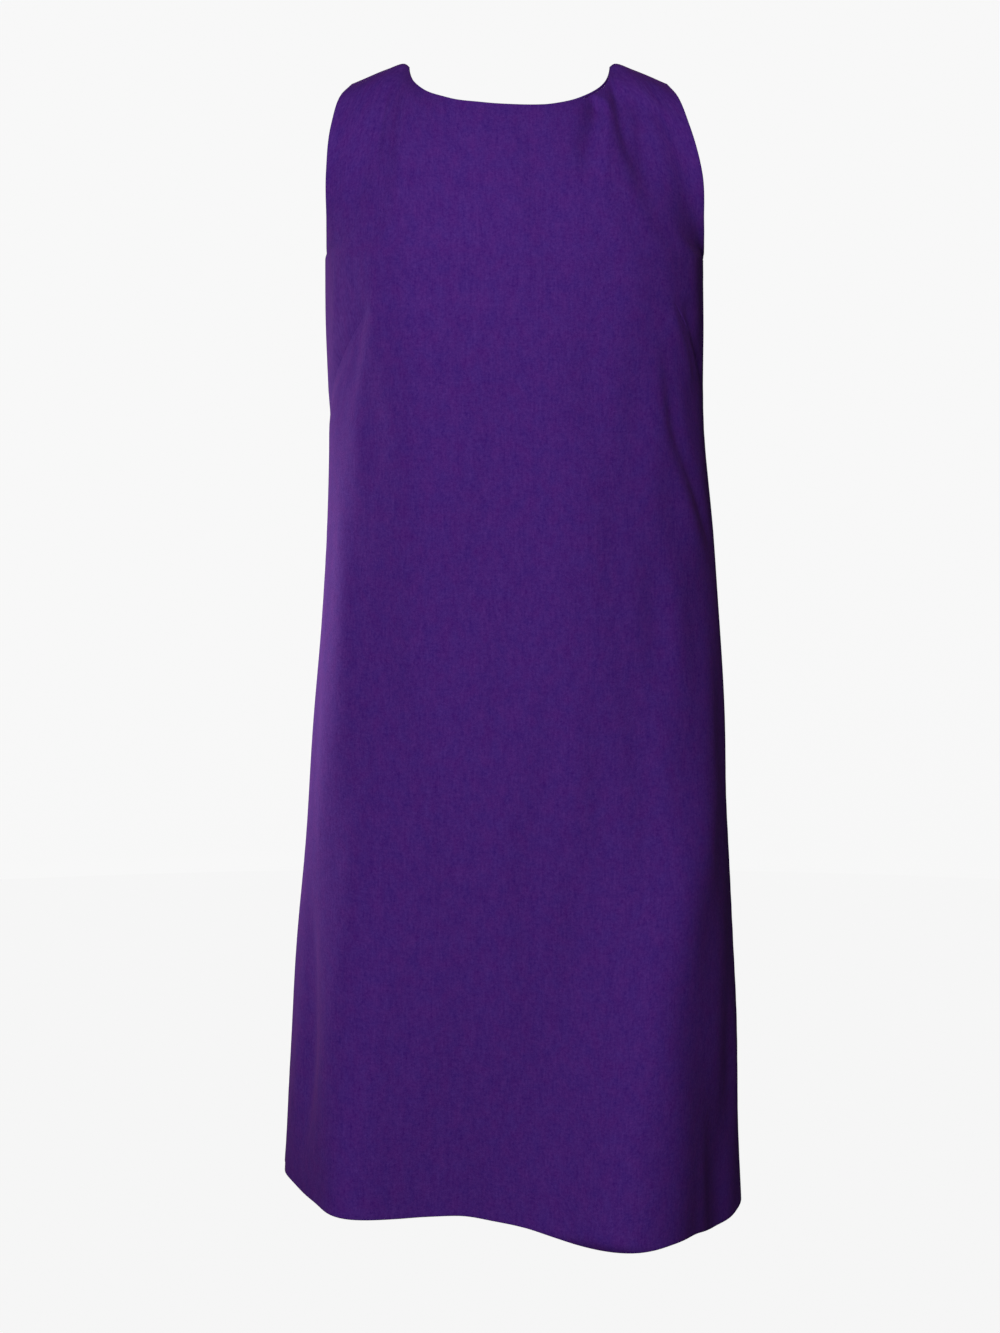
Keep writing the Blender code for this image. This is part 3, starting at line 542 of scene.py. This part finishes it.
def settled(grid, rises):
    """The grid, smoothed across its bodice, so that no line runs down from the neck's corners."""
    cloth = grid[len(grid) - len(rises) :]
    from_top = np.linalg.norm(cloth - cloth[-1], axis=-1)
    shares = np.linspace(0.0, 1.0, grid.shape[1])
    weight = ramp(from_top / SETTLE_REACH) * ramp(rises / SETTLE_RISE)[:, None]
    weight = (weight * ramp(np.minimum(shares, 1 - shares) / SETTLE_SIDE))[:, 1:-1, None]
    for _ in range(SETTLE_ROUNDS):
        between = (cloth[:, :-2] + cloth[:, 2:]) / 2
        cloth[:, 1:-1] += weight * (between - cloth[:, 1:-1]) / 2
    return grid


def dart_lean(z, shares):
    """How far rows near the darts rise and fall, so that one row runs along both of them."""
    ends = sorted(end for dart in DARTS[1:] for end in (dart[:2], dart[2:]))
    target = np.interp(shares, *zip(*ends))[None, :] - DART_ROW_Z
    above = (DART_LEAN_TOP - z) / (DART_LEAN_TOP - DART_ROW_Z)
    below = (z - DART_LEAN_FOOT) / (DART_ROW_Z - DART_LEAN_FOOT)
    return target * np.clip(np.minimum(above, below), 0.0, 1.0)


def beside_segment(spots, start, end):
    """Share of the way along a segment, offset from it and distance, for each spot."""
    way = end - start
    run = np.clip((spots - start) @ way / (way @ way), 0.0, 1.0)
    off = spots - start - run[..., None] * way
    return run, off, np.linalg.norm(off, axis=-1)


def dart_shape(grid, shares, levels):
    """How far the front moves in along its darts: a soft hollow and the sewn line in it."""
    width = run_along(grid[0])[-1]
    spots = np.stack(np.broadcast_arrays(shares * width, grid[:, :, 2]), axis=-1)
    moves = np.zeros(grid.shape[:2])
    sewn_line = bell((levels[:, None] - DART_ROW_Z) / STITCH_WIDTH)
    for depth, dart in zip(STITCH_DEPTHS, named(DARTS)):
        start = np.array([dart["side_at"] * width, dart["side_z"]])
        tip = np.array([dart["tip_at"] * width, dart["tip_z"]])
        run, _, gap = beside_segment(spots, start, tip)
        fade = (1 - np.exp(-run / DART_START)) * np.sqrt(1 - run)
        moves += DART_DEPTH * fade * bell(gap / DART_WIDTH)
        low, high = sorted((dart["side_at"], dart["tip_at"]))
        taken = ramp((1 - run) / STITCH_END) * ((shares >= low) & (shares <= high))
        moves[: len(levels)] += depth * sewn_line * taken[: len(levels)]
    return moves


def crease_path(crease):
    """A crease's path in metres across and up, in even steps."""
    points = np.array(crease["path"]) * (CREASE_WIDTH, 1.0)
    knots = np.linspace(0.0, 1.0, len(points))
    fine = np.linspace(0.0, 1.0, CREASE_STEPS + 1)
    return along(np.stack([smooth(knots, values, fine) for values in points.T], axis=1), fine)


def path_distance(path, spots):
    """Distance of each spot from a path, plus on the wearer's left, and the share run along it."""
    best = np.full(spots.shape[:2], np.inf)
    signed, run = np.zeros_like(best), np.zeros_like(best)
    for i, (start, end) in enumerate(zip(path, path[1:])):
        share, off, gap = beside_segment(spots, start, end)
        nearer = gap < best
        best = np.where(nearer, gap, best)
        way = (end - start) / np.linalg.norm(end - start)
        signed = np.where(nearer, np.sign(off @ (-way[1], way[0])) * gap, signed)
        run = np.where(nearer, (i + share) / CREASE_STEPS, run)
    return signed, run


def crease_heights(side, shares, z):
    """Sum of the creases of one side at each point."""
    spots = np.stack(np.broadcast_arrays(shares * CREASE_WIDTH, z), axis=-1)
    total = np.zeros(spots.shape[:2])
    for crease in named(CREASES[side]):
        signed, run = path_distance(crease_path(crease), spots)
        width = np.where(signed < 0, crease["right"], crease["left"])
        fade = ramp(run / crease["fade_in"]) * ramp((1 - run) / crease["fade_out"])
        total += crease["depth"] * fade * bell(signed / width)
    return total


def wave_heights(side, shares, z):
    """Soft unevenness of the cloth, stronger towards the hem."""
    draw = np.random.default_rng(WAVE_SEED + side)
    total = np.zeros(np.broadcast(shares, z).shape)
    for waves in named(WAVES):
        for _ in range(waves["count"]):
            across, up = draw.uniform(*WAVE_SPREAD, 2)
            phase, tilt = draw.uniform(0.0, 2 * math.pi), draw.uniform(-1.0, 1.0)
            turns = shares * CREASE_WIDTH / (waves["across"] * across)
            turns = turns + tilt * z / (waves["along"] * up)
            total += waves["height"] * np.sin(2 * math.pi * turns + phase)
    return total * (1 + (HEM_WAVINESS - 1) * ramp((UNDERARM_Z - z) / (UNDERARM_Z - HEM_Z)))


def pucker_heights(grid, seams):
    """Short ripples beside the sewn seams, which the thread draws in."""
    total = np.zeros(grid.shape[:2])
    for spot in seams:
        seam = grid[:, spot]
        away = np.linalg.norm(grid - seam[:, None], axis=-1)
        run = run_along(seam)
        sway = PUCKER_SWAY * np.sin(run / PUCKER_SWAY_LONG)
        beat = np.sin(2 * math.pi * run / PUCKER_LONG + sway)
        swell = np.sin(run / PUCKER_SWELL_LONG + spot)
        beat = beat * (PUCKER_MEAN + (1 - PUCKER_MEAN) * swell)
        total += PUCKER_HEIGHT * beat[:, None] * bell(away / PUCKER_FADE)
    return total


# ---------------- turned edges
def beyond(points, normals):
    """Directions along the cloth, square to the first row of a grid and away from the grid."""
    past = unit(np.cross(normals[0], unit(np.gradient(points[0], axis=0))))
    return past * np.sign(np.sum(past * (points[0] - points[1])))


def shifted_in(points, normals):
    """The grid with its first row moved into the cloth, to make room for the roll."""
    points = points.copy()
    points[0] -= beyond(points, normals) * ROLL
    return points


def turned_rows(points, normals, turn):
    """Rows past the first row of a grid: the roll at the edge, and the layer turned in behind.

    Both faces of the cloth are returned, from the raw edge to the step before the first row.
    """
    lift, past = normals[0], beyond(points, normals)
    centre = points[0] - ROLL * lift
    angles = np.linspace(math.pi, 0.0, ROLL_STEPS + 1)[:-1, None, None]
    way = np.cos(angles) * lift + np.sin(angles) * past
    rolls = [centre + radius * way for radius in (ROLL, ROLL - CLOTH)]
    count = max(2, round(turn / TURN_STEP))
    places = np.linspace(turn, turn / count, count)
    run = run_along(points)
    spots, lifts = (
        np.stack([read_line(places, run[:, c], rows[:, c]) for c in range(run.shape[1])], axis=1)
        for rows in (points, normals)
    )
    lifts = unit(lifts)
    flaps = [spots - depth * lifts for depth in (2 * ROLL, 2 * ROLL - CLOTH)]
    return [np.concatenate(pair) for pair in zip(flaps, rolls)]


def to_border(border, grid):
    """The grid turned so that one of its borders is the first row."""
    grid = grid.swapaxes(0, 1) if border in ("first", "last") else grid
    return grid[::-1] if border in ("top", "last") else grid


def from_border(border, grid):
    """The grid turned back from to_border."""
    grid = grid[::-1] if border in ("top", "last") else grid
    return grid.swapaxes(0, 1) if border in ("first", "last") else grid


def turned_sheet(points, normals):
    """Both faces of a panel with all four edges turned in, and the cells that are cloth.

    Its borders are the hem, the top, and the first and last column.
    """
    for border in TURNS:
        shifted = shifted_in(to_border(border, points), to_border(border, normals))
        points = from_border(border, shifted)
    strips = {}
    for border, turn in TURNS.items():
        both = turned_rows(to_border(border, points), to_border(border, normals), turn)
        strips[border] = [from_border(border, rows) for rows in both]
    rows, cols = points.shape[:2]
    low, high = (len(strips[border][0]) for border in ("hem", "top"))
    first, last = (strips[border][0].shape[1] for border in ("first", "last"))
    faces = []
    for k, face in enumerate((points, points - CLOTH * normals)):
        face = np.concatenate([strips["first"][k], face, strips["last"][k]], axis=1)
        hem, top = (np.pad(strips[b][k], ((0, 0), (first, last), (0, 0))) for b in ("hem", "top"))
        faces.append(np.concatenate([hem, face, top]))
    cells = np.ones((low + rows + high - 1, first + cols + last - 1), bool)
    for bare_low, bare_high, kept in ((0, 0, 0), (BARE_LOW, BARE_HIGH, ROLL_STEPS)):
        for part in (slice(0, low + bare_low), slice(low + rows - 1 - bare_high, None)):
            cells[part, : first - kept] = False
            cells[part, first + cols - 1 + kept :] = False
    return *faces, cells


def arc_map(face, centre_row, centre_col):
    """Position of each grid point on the flat cloth, in metres from the centre line."""
    u = run_along(face.swapaxes(0, 1), FLAP_LEAP).T
    u = u - u[:, centre_col : centre_col + 1]
    v = run_along(face[:, centre_row])
    return np.stack([u, np.repeat(v[:, None], face.shape[1], axis=1)], axis=-1)


# ---------------- meshes
def wall(name, outer, inner, cells, flat, side, material):
    """A closed thin wall over the marked cells of a grid, with its flat map as UVs."""
    rows, cols = outer.shape[:2]
    index = np.arange(rows * cols).reshape(rows, cols)
    quads = np.stack([index[:-1, :-1], index[:-1, 1:], index[1:, 1:], index[1:, :-1]], axis=-1)
    if side == BACK:
        quads = quads[..., ::-1]
    outside = quads[cells]
    under = rows * cols
    edges = np.concatenate([outside[:, [k, (k + 1) % 4]] for k in range(4)]).tolist()
    known = {tuple(edge) for edge in edges}
    rim = np.array([edge for edge in edges if (edge[1], edge[0]) not in known])
    rim = np.stack([rim[:, 1], rim[:, 0], rim[:, 0] + under, rim[:, 1] + under], axis=1)
    faces = np.concatenate([outside, outside[:, ::-1] + under, rim])
    used, faces = np.unique(faces, return_inverse=True)
    faces = faces.reshape(-1, 4)
    points = np.concatenate([outer.reshape(-1, 3), inner.reshape(-1, 3)])[used]
    uvs = np.concatenate([flat.reshape(-1, 2)] * 2)[used]
    thing = placed(name, points, faces.tolist(), material)
    layer = thing.data.uv_layers.new(name="cloth")
    layer.uv.foreach_set("vector", uvs[faces.ravel()].astype(np.float32).ravel())
    return thing


def tube_faces(first, rings, sides):
    """Quads between rings of points numbered from first, and the first and last ring."""
    index = first + np.arange(rings * sides).reshape(rings, sides)
    after = np.roll(index, -1, axis=1)
    quads = np.stack([index[:-1], after[:-1], after[1:], index[1:]], axis=-1)
    return quads.reshape(-1, 4).tolist(), index[0].tolist(), index[-1].tolist()


def linked(name, data):
    """A new object of the data, in the scene."""
    thing = bpy.data.objects.new(name, data)
    bpy.context.scene.collection.objects.link(thing)
    return thing


def placed(name, points, faces, material):
    """A smooth object of points and faces, with its material, in the scene."""
    mesh = bpy.data.meshes.new(name)
    mesh.from_pydata(points, [], faces)
    mesh.materials.append(material)
    mesh.shade_smooth()
    mesh.update()
    return linked(name, mesh)


# ---------------- panels
def panel_surface(side):
    """Outer points and normals of one side, creased and darted, and flat along its seams."""
    shares = np.linspace(0.0, 1.0, FINE_COLUMNS[side] + 1)
    rises = np.linspace(0.0, 1.0, RISE_ROWS + 1)
    levels = front_levels() if side == FRONT else even_levels()
    heights = np.repeat(levels[:, None], len(shares), axis=1)
    if side == FRONT:
        heights += dart_lean(heights, shares)
    grid = settled(fine_grid(side, heights, rises, shares), rises)
    normals = outward(grid, side)
    z = grid[:, :, 2]
    raised = crease_heights(side, shares, z) + wave_heights(side, shares[None, :], z)
    raised += pucker_heights(grid, (0, -1) if side == FRONT else (0, len(shares) // 2, -1))
    if side == FRONT:
        raised -= dart_shape(grid, shares, levels)
    calm = ramp(np.minimum(shares, 1 - shares) / SIDE_CALM)[None, :]
    raised = raised * (SIDE_KEPT + (1 - SIDE_KEPT) * calm)
    from_top = np.linalg.norm(grid - grid[-1], axis=-1)
    raised = raised * (EDGE_KEPT + (1 - EDGE_KEPT) * ramp(from_top / EDGE_CALM))
    grid = grid + normals * raised[..., None]
    normals = outward(grid, side)
    side_seam = slice(0, len(levels) + 1)
    shoulder = round(SEAM_SHARE * FINE_COLUMNS[side]) + 1
    ends = ((-1, slice(0, shoulder)), (-1, slice(-shoulder, None)))
    for row, col in ((side_seam, 0), (side_seam, -1), *ends):
        grid[row, col, 1] = -side * SEAM_PRESS / 2
        normals[row, col] = seam_normals(normals[row, col], grid[row, col], 1)
    return grid, normals


def cut_piece(name, points, normals, side, centre, material):
    """A cut piece with its edges turned in; the dress's middle is at centre, a share across."""
    outer, inner, cells = turned_sheet(points, normals)
    cols = outer.shape[1]
    flat = arc_map(outer, cols // 2, round(centre * (cols - 1)))
    return wall(name, outer, inner, cells, flat, side, material)


def make_front(material):
    """The front, cut in one piece, with darts."""
    piece = cut_piece("front_crepe", *panel_surface(FRONT), FRONT, 0.5, material)
    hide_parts("front_bodice", "front_waist", "front_skirt")
    return piece


def make_backs(material):
    """The two backs, whose centre edges meet over the zip; and the surface they are cut from."""
    grid, normals = panel_surface(BACK)
    middle = FINE_COLUMNS[BACK] // 2
    normals[:, middle] = seam_normals(normals[:, middle], grid[:, middle], 0)
    away = np.abs(grid[:, middle, 2] - SLIDER_Z) - CROWN_LONG / 2
    open_half = (SLOT_HALF + SEAM_PRESS / 2) * ramp(1 - away / SLOT_FADE) - SEAM_PRESS / 2
    pieces = []
    for hidden, part, way in (
        ("back_right", slice(0, middle + 1), -1),
        ("back_left", slice(middle, None), 1),
    ):
        points = grid[:, part].copy()
        for step, share in enumerate(np.linspace(1.0, 0.0, SLOT_COLUMNS) ** 2):
            points[:, step if way > 0 else -1 - step, 0] += way * open_half * share
        centre = 0.0 if way > 0 else 1.0
        piece = cut_piece(f"{hidden}_crepe", points, normals[:, part], BACK, centre, material)
        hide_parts(*(f"{hidden}_{band}" for band in ("bodice", "waist", "skirt")))
        pieces.append(piece)
    return pieces, (grid, normals)


# ---------------- the zip's inside
def beside_seam(surface, heights, distances, depth):
    """Points by the centre-back line at each height: across by each distance, in by the depth."""
    grid, normals = surface
    middle = grid.shape[1] // 2
    near = slice(middle - NEAR_COLUMNS, middle + NEAR_COLUMNS + 1)
    spot = np.interp(heights, grid[:, middle, 2], np.arange(len(grid)))
    low = np.minimum(spot.astype(int), len(grid) - 2)
    part = (spot - low)[:, None, None]
    points, lifts = (
        rows[low, near] * (1 - part) + rows[low + 1, near] * part for rows in (grid, normals)
    )
    run = run_along(points.swapaxes(0, 1)).T
    run = run - run[:, NEAR_COLUMNS : NEAR_COLUMNS + 1]
    spots, lifts = (
        np.stack([read_line(distances, *pair) for pair in zip(run, rows)])
        for rows in (points, lifts)
    )
    lifts = unit(lifts)
    return spots - depth * lifts, lifts


def make_tape(name, surface, way, material):
    """The tape of one side, behind the turned-in edge of its back."""
    heights = np.linspace(ZIP_END_Z, TAPE_TOP_Z, TAPE_ROWS)
    distances = np.linspace(TAPE_FROM, TAPE_TO, TAPE_COLUMNS)[::way] * way
    face, lifts = beside_seam(surface, heights, distances, TAPE_DEPTH)
    cells = np.ones((TAPE_ROWS - 1, TAPE_COLUMNS - 1), bool)
    flat = arc_map(face, TAPE_COLUMNS // 2, 0)
    return wall(name, face, face - TAPE_THICK * lifts, cells, flat, BACK, material)


def tubes(name, paths, guides, radius, sides, material):
    """Threads along several paths, as one mesh; guides set where their sides begin."""
    turn = np.linspace(0.0, 2 * math.pi, sides, endpoint=False)
    points, faces = [], []
    for path, guide in zip(paths, guides):
        ahead = unit(np.gradient(path, axis=0))
        across = unit(guide - np.sum(guide * ahead, axis=1, keepdims=True) * ahead)
        quads, start, end = tube_faces(len(points) * sides, len(path), sides)
        faces += [*quads, start[::-1], end]
        for spot, a, b in zip(path, across, np.cross(ahead, across)):
            points.append(spot + radius * (np.cos(turn)[:, None] * a + np.sin(turn)[:, None] * b))
    return placed(name, np.concatenate(points), faces, material)


def make_coil(surface, material):
    """The two coils that mesh with each other, from the slider down to the zip's end."""
    turns = round((COIL_TOP_Z - ZIP_END_Z) / COIL_PITCH)
    angle = np.linspace(0.0, 2 * math.pi * turns, COIL_STEPS * turns + 1)
    heights = np.linspace(ZIP_END_Z, COIL_TOP_Z, len(angle))
    centre, lift = (rows[:, 0] for rows in beside_seam(surface, heights, [0.0], TAPE_BACK))
    paths = []
    for way, lead in ((-1, 0.0), (1, math.pi)):
        path = centre - (COIL_WIRE + COIL_HIGH * (1 + np.sin(angle + lead)))[:, None] * lift
        path[:, 0] += way * (COIL_MIDDLE + COIL_HALF * np.cos(angle + lead))
        paths.append(path)
    guides = [unit(np.gradient(centre, axis=0))] * len(paths)
    return tubes("zip_coil", paths, guides, COIL_WIRE, COIL_SIDES, material)


def make_stitches(surface, material):
    """The thread that holds both tapes, and the bar of stitches that ends the coil."""
    arch = np.array([-1.0, -0.8, 0.0, 0.8, 1.0])
    rise = THREAD_RISE * np.array([-1.0, 0.6, 1.0, 0.6, -1.0])
    paths = []
    for way in (-1, 1):
        for middle in np.arange(ZIP_END_Z + STITCH_STEP, TAPE_TOP_Z - STITCH_STEP, STITCH_STEP):
            heights = middle + arch * STITCH_LONG / 2
            spots, lifts = beside_seam(surface, heights, [way * STITCH_AT], TAPE_BACK)
            paths.append(spots[:, 0] - rise[:, None] * lifts[:, 0])
    guides = [np.array([1.0, 0.0, 0.0])] * len(paths) + [np.array([0.0, 0.0, 1.0])] * TACKS
    high = 2 * (COIL_WIRE + COIL_HIGH) + THREAD
    over = np.array([-THREAD, high, high, high, -THREAD])
    for k in range(TACKS):
        spots, lifts = beside_seam(surface, [ZIP_END_Z + (k + 1) * TACK_STEP], [0.0], TAPE_BACK)
        path = spots[0] - over[:, None] * lifts[0]
        path[:, 0] += TACK_HALF * np.array([-1.0, -0.62, 0.0, 0.62, 1.0])
        paths.append(path)
    return tubes("zip_stitches", paths, guides, THREAD, THREAD_SIDES, material)


# ---------------- materials
class Nodes:
    """A short way to wire a material."""

    def __init__(self, name):
        self.material = bpy.data.materials.new(name)
        self.material.use_nodes = True
        self.tree = self.material.node_tree
        self.shader = self.tree.nodes["Principled BSDF"]

    def fill(self, socket, value):
        if isinstance(value, bpy.types.NodeSocket):
            self.tree.links.new(value, socket)
        else:
            socket.default_value = value

    def add(self, kind, inputs=(), **settings):
        node = self.tree.nodes.new(kind)
        for key, value in settings.items():
            setattr(node, key, value)
        for key, value in dict(inputs).items():
            self.fill(node.inputs[key], value)
        return node

    def set(self, **values):
        for key, value in values.items():
            self.fill(self.shader.inputs[key.replace("_", " ")], value)

    def place(self):
        return self.add("ShaderNodeTexCoord").outputs["Object"]

    def math(self, operation, *values):
        return self.add("ShaderNodeMath", dict(enumerate(values)), operation=operation).outputs[0]

    def vector_math(self, operation, inputs):
        return self.add("ShaderNodeVectorMath", inputs, operation=operation).outputs[0]

    def stretched(self, vector, across, along_it):
        return self.vector_math("MULTIPLY", {0: vector, 1: (across, along_it, 1.0)})

    def noise(self, vector, scale, detail=2.0, roughness=0.5):
        inputs = {"Vector": vector, "Scale": scale, "Detail": detail, "Roughness": roughness}
        return self.add("ShaderNodeTexNoise", inputs).outputs["Fac"]

    def bump(self, strength, distance, height):
        inputs = {"Strength": strength, "Distance": distance, "Height": height}
        return self.add("ShaderNodeBump", inputs).outputs[0]

    def colour_ramp(self, value, stops):
        node = self.add("ShaderNodeValToRGB", {"Fac": value})
        elements = node.color_ramp.elements
        while len(elements) < len(stops):
            elements.new(0.5)
        for element, (place, colour) in zip(elements, stops):
            element.position = place
            element.color = (*colour, 1.0)
        return node.outputs["Color"]


def scaled(colour, factor):
    """A colour made lighter or darker."""
    return tuple(channel * factor for channel in colour)


def crepe_material():
    """Matt purple crepe: fine weave, pebbled grain with painted glints, and faint streaks along the warp.
    """
    n = Nodes("crepe")
    flat = n.add("ShaderNodeUVMap", uv_map="cloth").outputs[0]
    grain = 0.0
    for spots in named(GRAIN):
        place = n.stretched(flat, 1 / spots["across"], 1 / spots["along"])
        value = n.noise(place, 1.0, spots["detail"], CREPE_ROUGHNESS)
        grain = n.math("MULTIPLY_ADD", n.math("SUBTRACT", value, 0.5), spots["strength"], grain)
    place = n.stretched(flat, *(1 / size for size in DYE_SPOTS))
    blots = n.noise(place, 1.0, 3.0, CREPE_ROUGHNESS)
    warm, cool = (np.multiply(CREPE, tint) for tint in (CREPE_WARM, CREPE_COOL))
    dye = n.colour_ramp(blots, ((0.34, cool), (0.50, CREPE), (0.66, warm)))
    # painted glints: the grain's spots are made lighter and greyer, as light caught on raised fibres
    grain_glints = n.vector_math("SCALE", {"Vector": GRAIN_GLINT_COLOUR, "Scale": grain})
    colour = n.vector_math("ADD", {0: dye, 1: grain_glints})
    pebbles = n.noise(n.stretched(flat, *PEBBLES), 1.0, 2.0, CREPE_ROUGHNESS)
    places = n.add("ShaderNodeSeparateXYZ", {0: flat}).outputs
    warp, weft = (
        n.math("SINE", n.math("MULTIPLY", place, turns)) for place, turns in zip(places, WEAVE)
    )
    weave = n.math("MULTIPLY", n.math("MULTIPLY", warp, weft), WEAVE_HEIGHT)
    bump = n.bump(0.6, 0.0003, n.math("ADD", weave, pebbles))
    n.set(Base_Color=colour, Roughness=0.85, Normal=bump)
    n.set(Specular_IOR_Level=0.03, Sheen_Weight=0.04, Sheen_Roughness=0.45)
    n.set(Sheen_Tint=(0.9, 0.25, 0.9, 1.0))
    return n.material


def metal_material():
    """Purple enamel of the slider and its tab."""
    n = Nodes("enamel")
    wear = n.noise(n.place(), 900.0, 3.0)
    dull, bright = (scaled(METAL, factor) for factor in (0.8, 1.4))
    colour = n.colour_ramp(wear, ((0.35, dull), (0.6, METAL), (0.8, bright)))
    n.set(Base_Color=colour, Roughness=0.50, Metallic=0.35)
    return n.material


def tape_material():
    """Woven zip tape."""
    n = Nodes("zip_weave")
    wave = n.add("ShaderNodeTexWave", {"Vector": n.place(), "Scale": 900.0, "Distortion": 0.4})
    ribs = wave.outputs["Fac"]
    colour = n.colour_ramp(ribs, ((0.2, scaled(TAPE, 0.75)), (0.8, scaled(TAPE, 1.2))))
    bump = n.bump(0.5, 0.0002, ribs)
    n.set(Base_Color=colour, Roughness=0.80, Specular_IOR_Level=0.08, Normal=bump)
    return n.material


def nylon_material():
    """Nylon coil and thread, dyed to match."""
    n = Nodes("nylon")
    spots = n.noise(n.place(), 1400.0)
    colour = n.colour_ramp(spots, ((0.35, scaled(TAPE, 0.9)), (0.65, scaled(TAPE, 1.5))))
    n.set(Base_Color=colour, Roughness=0.42, Specular_IOR_Level=0.35)
    return n.material


# ---------------- studio
def make_stage():
    """A pale floor that curves up into a wall all round, lit on its own."""
    n = Nodes("paper")
    n.set(Base_Color=(0.10, 0.10, 0.10, 1.0), Roughness=0.9, Specular_IOR_Level=0.0)
    n.set(Emission_Color=(1.0, 1.0, 1.0, 1.0), Emission_Strength=0.92)
    profile = [(FLOOR_REACH, FLOOR_Z)]
    for angle in np.linspace(0.0, math.pi / 2, CURVE_STEPS + 1)[1:]:
        out, up = FLOOR_CURVE * math.sin(angle), FLOOR_CURVE * (1 - math.cos(angle))
        profile.append((FLOOR_REACH + out, FLOOR_Z + up))
    profile.append((FLOOR_REACH + FLOOR_CURVE, FLOOR_Z + WALL_HIGH))
    turns = np.linspace(0.0, 2 * math.pi, STAGE_SIDES, endpoint=False)
    points = [(r * math.cos(t), r * math.sin(t), z) for r, z in profile for t in turns]
    quads, floor, _ = tube_faces(0, len(profile), STAGE_SIDES)
    backdrop = placed("backdrop", points, [floor, *quads], n.material)
    backdrop.visible_diffuse = False
    backdrop.visible_glossy = False


def make_lights():
    """Soft light from the front, a low warm one from the wearer's right, and a fill behind."""
    for name, place, target, size, power, colour, spread in LIGHTS[1:]:
        light = bpy.data.lights.new(name, "AREA")
        light.shape = "RECTANGLE"
        light.size = light.size_y = size
        light.energy = power
        light.color = colour
        light.spread = math.radians(spread)
        lamp = linked(name, light)
        lamp.location = place
        ahead = Vector(target) - Vector(place)
        lamp.rotation_euler = ahead.to_track_quat("-Z", "Y").to_euler()
        lamp.visible_camera = False
    world = bpy.data.worlds.new("studio")
    world.use_nodes = True
    background = world.node_tree.nodes["Background"]
    background.inputs["Color"].default_value = (1.0, 1.0, 1.0, 1.0)
    background.inputs["Strength"].default_value = WORLD_STRENGTH
    bpy.context.scene.world = world
    bpy.context.scene.view_settings.view_transform = "Standard"


def make_camera():
    """The photograph's camera."""
    data = bpy.data.cameras.new("camera")
    data.sensor_width = SENSOR * 1000
    data.lens = SENSOR * 1000 * FOCAL_PIXELS / IMAGE_HIGH
    camera = linked("camera", data)
    camera.location = CAMERA_AT
    camera.rotation_euler = (math.radians(90.0 - CAMERA_PITCH), 0.0, 0.0)
    bpy.context.scene.camera = camera


# ---------------- the scene
def main():
    """Build the studio, the cloth and the zip, and attach each piece to the dress."""
    make_camera()
    make_stage()
    make_lights()
    crepe, metal, tape, nylon = crepe_material(), metal_material(), tape_material(), nylon_material()
    front = make_front(crepe)
    (back_right, back_left), surface = make_backs(crepe)
    tape_right = make_tape("zip_tape_right", surface, -1, tape)
    tape_left = make_tape("zip_tape_left", surface, 1, tape)
    coil = make_coil(surface, nylon)
    stitches = make_stitches(surface, nylon)
    for piece in (tape_right, tape_left, coil, stitches):
        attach(piece, "dress")
        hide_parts("zip_tape")
    for piece, flat, area, sewn_on in (
        (front, (0.610, 0.994), 0.462, []),
        (back_right, (0.300, 0.998), 0.237, [tape_right]),
        (back_left, (0.300, 0.998), 0.237, [tape_left, coil, stitches]),
    ):
        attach(piece, "dress")
    for name in ("zip_slider", "zip_pull"):
        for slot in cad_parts[name].material_slots:
            slot.material = metal


main()
